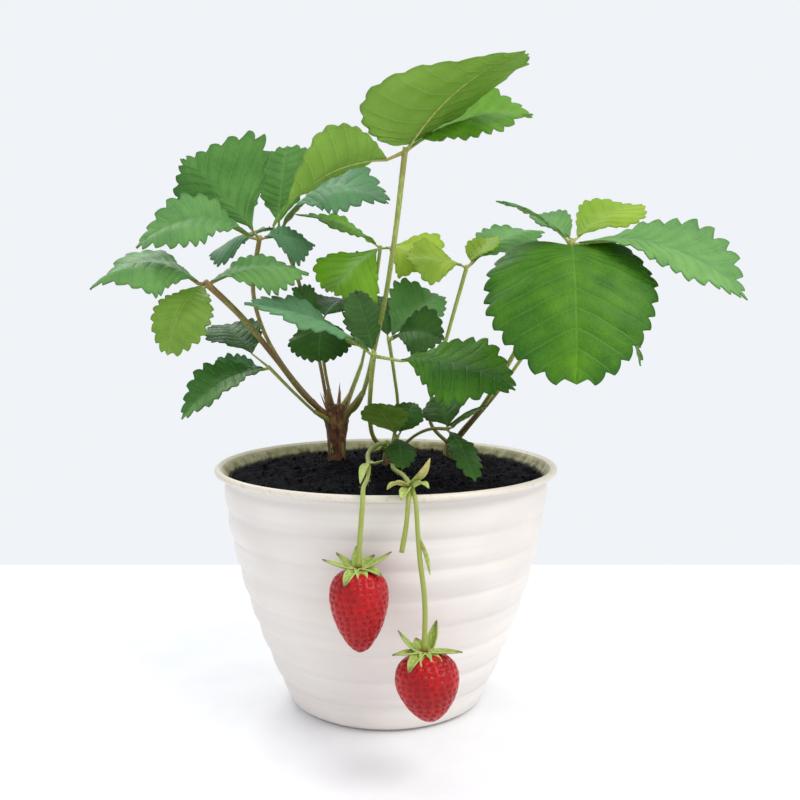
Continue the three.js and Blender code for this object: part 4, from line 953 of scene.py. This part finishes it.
bract_green, tree, shader = new_finish("bract_green")
streaks = mottle(tree, object_place(tree), 700.0, 3.0)
patch = mottle(tree, object_place(tree), 130.0, 2.0)
skin = blend(tree, ramp(tree, streaks, 0.35, 0.65), paint(150, 172, 74), paint(182, 198, 112))
skin = blend(tree, ramp(tree, patch, 0.5, 0.68, 0.0, 0.6), skin, paint(158, 128, 74))
dress(tree, shader, skin, ramp(tree, streaks, 0.3, 0.7, 0.45, 0.6), streaks, 0.0002, 0.6)
bm = bmesh.new()
for base, middle, tip, half in (
    ((12, -89, 132), (18, -94, 138), (20.5, -90, 144), 3.4),
    ((11, -90, 131.5), (5, -94, 133.5), (1.5, -95, 131), 3),
    ((12.5, -90, 131), (17, -95, 134), (20, -97, 132), 2.4),
    ((11, -91, 131), (9.5, -97, 131), (7.8, -101, 127.5), 2.4),
    ((-8.2, -30, 131.5), (-10, -52, 133), (-11, -74, 129.5), 2),
    ((-8.2, -26, 132), (-5, -38, 132.5), (-1, -42, 135), 1.6),
    ((15.5, -101.5, 111), (18.5, -102.5, 103), (20.4, -103, 95), 1.5),
    ((-0.5, 14, 135), (-6, 10, 131), (-10, 8, 133), 2.4),
):
    spine = smooth_route([base, middle, tip], 8)
    way = unit(np.array(tip, float) - np.array(base, float))
    across = unit(np.cross(way, np.array((0, 0.3, 1.0))))
    widths = [half * (0.45 + 0.55 * math.sin(math.pi * i / 16)) if i < 8
              else half * (1 - ((i - 8) / 8) ** 1.6) for i in range(17)]
    pointed_strip(bm, spine, across, widths, 0.5)
thicken(place_piece("fruit_stem_bracts", bm, [bract_green]), BRACT_THICKNESS)


# ---- The hairs ----
# Soft, pale hairs grow from the skin of the leaf stalks and of the fruit stem's top, and lean a
# little towards the tip. They are finer than a sewing thread. Nothing lower than BARE_BELOW has any,
# such as the fruit stem where it hangs down.
HAIR_SPACING = 0.0010
HAIR_LENGTH = 0.0013
HAIR_RADIUS = 0.00004
BARE_BELOW = 0.130

fine_hair, tree, shader = new_finish("fine_hair")
tint = ramp(tree, mottle(tree, object_place(tree), 300.0, 2.0), 0.35, 0.65)
tint = blend(tree, tint, paint(196, 206, 150), paint(228, 232, 200))
tree.links.new(tint, shader.inputs["Base Color"])
shader.inputs["Roughness"].default_value = 0.6
rng = random.Random(23)
bm = bmesh.new()
for route, radii in haired_stalks:
    for start, end, radius in zip(route, route[1:], radii):
        start, end = Vector(start) / 1000, Vector(end) / 1000
        if start.z < BARE_BELOW:
            continue
        way = (end - start).normalized()
        for _ in range(round((end - start).length / HAIR_SPACING + rng.random() - 0.5)):
            out = Matrix.Rotation(rng.random() * math.tau, 3, way) @ way.orthogonal().normalized()
            foot = start.lerp(end, rng.random()) + 0.9 * radius / 1000 * out
            lean = (out + rng.uniform(0.0, 0.6) * way).normalized()
            length = HAIR_LENGTH * rng.uniform(0.6, 1.2)
            turn = lean.to_track_quat("Z", "Y").to_matrix().to_4x4()
            bmesh.ops.create_cone(bm, cap_ends=True, segments=3, radius1=HAIR_RADIUS,
                                  radius2=HAIR_RADIUS / 5, depth=length,
                                  matrix=Matrix.Translation(foot + lean * length / 2) @ turn)
place_piece("stalk_hairs", bm, [fine_hair])


# ---- The strawberries ----
# Two ripe berries hang in front of the pot. Their seeds sit in dimples in staggered rows, and the
# glossy red flesh swells between them.
# Each berry has its top and tip, its radius, the power that sets its shoulder, and a random seed.
BERRIES = {
    "left": ((-11, -98, 96), (-10, -99, 59), 13, 0.6, 3),
    "right": ((18, -103, 60), (21, -105, 30), 14, 0.68, 8),
}
BERRY_FULLNESS = 0.55
BERRY_RINGS = 90
BERRY_STEPS = 120
FLESH_SWELL = 0.00018
DIMPLE_DEPTH = 0.0007
DIMPLE_RADIUS = 0.00085
DIMPLE_REACH = 0.0018
SEED_PITCH = 0.0034
SEED_SIZE = (0.00034, 0.0006, 0.00028)
SEED_SINK = 0.00048

berry_flesh, tree, shader = new_finish("berry_flesh")
pit = node(tree, "Attribute", attribute_name="pit").outputs["Fac"]
place = object_place(tree)
cloud = mottle(tree, place, 90.0, 3.0)
flesh = blend(tree, ramp(tree, cloud, 0.35, 0.65), paint(150, 0, 6), paint(176, 3, 13))
# Pink where the flesh swells between the dimples: a painted highlight.
flesh = blend(tree, ramp(tree, pit, 0.0, 0.3, 0.2, 0.0), flesh, paint(196, 36, 46))
# Dark red in the dimples: painted shade in the hollows round the seeds.
flesh = blend(tree, ramp(tree, pit, 0.4, 1.0, 0.0, 0.65), flesh, paint(104, 0, 10))
dress(tree, shader, flesh, ramp(tree, mottle(tree, place, 500.0, 2.0), 0.3, 0.7, 0.24, 0.36),
      mottle(tree, place, 1100.0, 2.0), 0.0001, 0.4)
shader.inputs["Specular IOR Level"].default_value = 0.22
shader.inputs["Coat Weight"].default_value = 0.1
shader.inputs["Coat Roughness"].default_value = 0.12

seed_gold, tree, shader = new_finish("seed_gold")
husk = mottle(tree, object_place(tree), 1500.0, 2.0)
husk_tint = blend(tree, ramp(tree, husk, 0.35, 0.65), paint(134, 20, 18), paint(176, 72, 44))
dress(tree, shader, husk_tint, ramp(tree, husk, 0.3, 0.7, 0.35, 0.5))

for name, (top, tip, radius, shoulder, seed) in BERRIES.items():
    top, tip = Vector(top) / 1000, Vector(tip) / 1000
    length = (tip - top).length
    turn = Vector((0, 0, -1)).rotation_difference(tip - top)
    lay = Matrix.Translation(top) @ turn.to_matrix().to_4x4()
    rng = random.Random(seed)

    def berry_point(t, angle):
        r = radius / 1000 * math.sin(math.pi * t**shoulder) ** BERRY_FULLNESS
        return Vector((r * math.cos(angle), r * math.sin(angle), -t * length))

    seeds = []
    t, row = 0.07, 0
    while t < 0.985:
        around = math.tau * berry_point(t, 0).xy.length
        count = max(3, round(around / SEED_PITCH))
        for place_in_row in range(count):
            angle = math.tau * (place_in_row + 0.5 * (row % 2) + rng.uniform(-0.17, 0.17)) / count
            seeds.append((t + rng.uniform(-0.012, 0.012), angle))
        slope = (berry_point(min(t + 0.02, 0.995), 0) - berry_point(t, 0)).length / 0.02
        t += 0.84 * SEED_PITCH / slope
        row += 1
    spots = [berry_point(*spot) for spot in seeds]

    bm = bmesh.new()
    shares = [ring / BERRY_RINGS for ring in range(1, BERRY_RINGS)]
    outline = [(berry_point(t, 0).x, -t * length) for t in shares]
    turned_body(bm, [(0, 0), *outline, (0, -length)], BERRY_STEPS)
    pit_layer = bm.verts.layers.float.new("pit")
    bm.normal_update()
    for vert in bm.verts:
        near = min((vert.co - spot).length for spot in spots)
        depth = math.exp(-((near / DIMPLE_RADIUS) ** 2))
        swell = min(1.0, near / DIMPLE_REACH)
        edge = min(1.0, -vert.co.z / 0.002, (length + vert.co.z) / 0.002)
        vert[pit_layer] = depth if near < 0.001 else max(0.0, 0.35 - 0.35 * swell)
        vert.co += vert.normal * edge * (FLESH_SWELL * swell**2 - DIMPLE_DEPTH * depth)
    bmesh.ops.transform(bm, matrix=lay, verts=bm.verts)
    place_piece("strawberry_" + name, bm, [berry_flesh], "berry_" + name)

    bm = bmesh.new()
    for (t, angle), spot in zip(seeds, spots):
        ahead = berry_point(min(t + 0.01, 1), angle) - berry_point(max(t - 0.01, 0), angle)
        side = Vector((-math.sin(angle), math.cos(angle), 0))
        out = ahead.cross(side).normalized()
        if out.dot(Vector((math.cos(angle), math.sin(angle), 0))) < 0:
            out.negate()
        axes = Matrix((side, ahead.normalized(), out)).transposed().to_4x4()
        at = lay @ Matrix.Translation(spot - out * SEED_SINK) @ axes @ Matrix.Diagonal((*SEED_SIZE, 1))
        bmesh.ops.create_icosphere(bm, subdivisions=1, radius=1, matrix=at)
    place_piece("seeds_" + name, bm, [seed_gold])


# ---- The calyxes ----
# A green cap on each berry: narrow pointed sepals round the stalk's end, bent back and dry at the tips.
# It grows between the fruit's flesh and its stalk. Each sepal has its heading, its rise at the foot
# and at the tip, in degrees, and its length.
SEPALS = {
    "left": [(-170, 10, 25, 17), (-118, 5, -50, 14), (-75, 8, -62, 13), (-30, 12, -25, 13),
             (8, 18, 36, 17), (50, 20, 30, 12), (95, 35, 75, 13), (145, 12, 38, 14)],
    "right": [(172, 24, 58, 16), (-165, 2, -2, 15), (-125, 6, -50, 15), (-88, 8, -70, 16),
              (-52, 6, -60, 15), (-8, 4, 2, 17), (55, 40, 72, 17), (110, 14, 20, 12)],
}
SEPAL_HALF_WIDTH = 2.7
SEPAL_THICKNESS = 0.0005
sepal_green, tree, shader = new_finish("sepal_green")
tipward = node(tree, "Attribute", attribute_name="tipward").outputs["Fac"]
beside = node(tree, "Attribute", attribute_name="beside").outputs["Fac"]
place = object_place(tree)
fibre = mottle(tree, place, 800.0, 3.0)
skin = blend(tree, ramp(tree, fibre, 0.35, 0.65), paint(134, 158, 60), paint(172, 188, 92))
skin = blend(tree, ramp(tree, beside, 0.6, 1.0, 0.0, 0.5), skin, paint(190, 200, 128))
skin = blend(tree, ramp(tree, tipward, 0.0, 0.22, 0.6, 0.0), skin, paint(190, 124, 88))
dry = maths(tree, "ADD", tipward, ramp(tree, fibre, 0.3, 0.7, -0.12, 0.12))
skin = blend(tree, ramp(tree, dry, 0.74, 1.0, 0.0, 0.85), skin, paint(84, 74, 66))
dress(tree, shader, skin, ramp(tree, fibre, 0.3, 0.7, 0.5, 0.65), fibre, 0.0002, 0.6)

for name, sepals in SEPALS.items():
    centre = np.array(BERRIES[name][0], float) + np.array((0, 0, 0.7))
    bm = bmesh.new()
    tip_layer = bm.verts.layers.float.new("tipward")
    rim_layer = bm.verts.layers.float.new("beside")
    for heading, foot_rise, tip_rise, length in sepals:
        turn = math.radians(heading)
        outward = np.array((math.cos(turn), math.sin(turn), 0))
        across = np.array((-math.sin(turn), math.cos(turn), 0))
        knots = [centre + outward * 1.2, centre + outward * 3.06]
        for share in (0.35, 0.7, 1.0):
            rise = math.radians(foot_rise + (tip_rise - foot_rise) * share)
            step = (length - 3.4) * (0.3 if share == 1 else 0.35)
            knots.append(knots[-1] + step * (outward * math.cos(rise) + np.array((0, 0, math.sin(rise)))))
        spine = smooth_route(knots, 5)
        count = len(spine) - 1
        shares = [i / count for i in range(count + 1)]
        widths = [SEPAL_HALF_WIDTH * (0.62 + 0.38 * math.sin(math.pi * min(s / 0.9, 1)))
                  * (1 - s**5) ** 0.75 for s in shares]
        before = set(bm.verts)
        pointed_strip(bm, spine, -across, widths, 0.45)
        for vert in set(bm.verts) - before:
            at = np.array(vert.co) * 1000
            nearest = int(np.argmin([np.linalg.norm(at - p) for p in spine]))
            vert[tip_layer] = nearest / count
            vert[rim_layer] = min(1.0, abs((at - spine[nearest]) @ across) / max(widths[nearest], 0.2))
    cap = place_piece("sepals_" + name, bm, [sepal_green], "calyx_" + name)
    thicken(cap, SEPAL_THICKNESS)


# ---- The table, the light and the camera ----
# A pale table top in front of a bright, far wall, soft daylight from all sides with a little more
# from the right, and a camera above the rim that looks down a little.
CAMERA_DROP = 6.07
bm = bmesh.new()
bmesh.ops.create_grid(bm, x_segments=1, y_segments=1, size=1,
                      matrix=Matrix.Translation((0, -0.343, 0)) @ Matrix.Diagonal((1.6, 0.6, 1, 1)))
table_top, tree, shader = new_finish("table_top")
grain = mottle(tree, object_place(tree), 30.0, 3.0)
top_tint = blend(tree, ramp(tree, grain, 0.3, 0.7), paint(238, 238, 240), paint(242, 242, 243))
tree.links.new(top_tint, shader.inputs["Base Color"])
shader.inputs["Roughness"].default_value = 0.6
table = mesh_object("table_top", bm, [table_top])

world = bpy.data.worlds.new("daylight")
world.use_nodes = True
world.node_tree.nodes["Background"].inputs["Color"].default_value = paint(240, 243, 247)
world.node_tree.nodes["Background"].inputs["Strength"].default_value = 1.0
bpy.context.scene.world = world
bpy.context.scene.view_settings.view_transform = "Standard"


def soft_light(name, at, aim, size, power, tint):
    lamp = bpy.data.lights.new(name, "AREA")
    lamp.shape, lamp.size, lamp.energy, lamp.color = "DISK", size, power, tint
    holder = new_object(name, lamp)
    holder.location = at
    holder.rotation_euler = (Vector(aim) - Vector(at)).to_track_quat("-Z", "Y").to_euler()


soft_light("window_light", (0.7, -0.5, 1.1), (0, 0, 0.15), 0.9, 9.0, (1.0, 0.985, 0.96))
soft_light("back_light", (-0.5, 0.9, 1.0), (0, 0, 0.2), 0.8, 7.0, (0.97, 0.99, 1.0))

lens = bpy.data.cameras.new("front_camera")
lens.sensor_width, lens.lens = 36.0, 45.0
camera = new_object("front_camera", lens)
camera.location = (0.0073, -0.525, 0.216)
camera.rotation_euler = (math.radians(90 - CAMERA_DROP), 0, 0)
bpy.context.scene.camera = camera
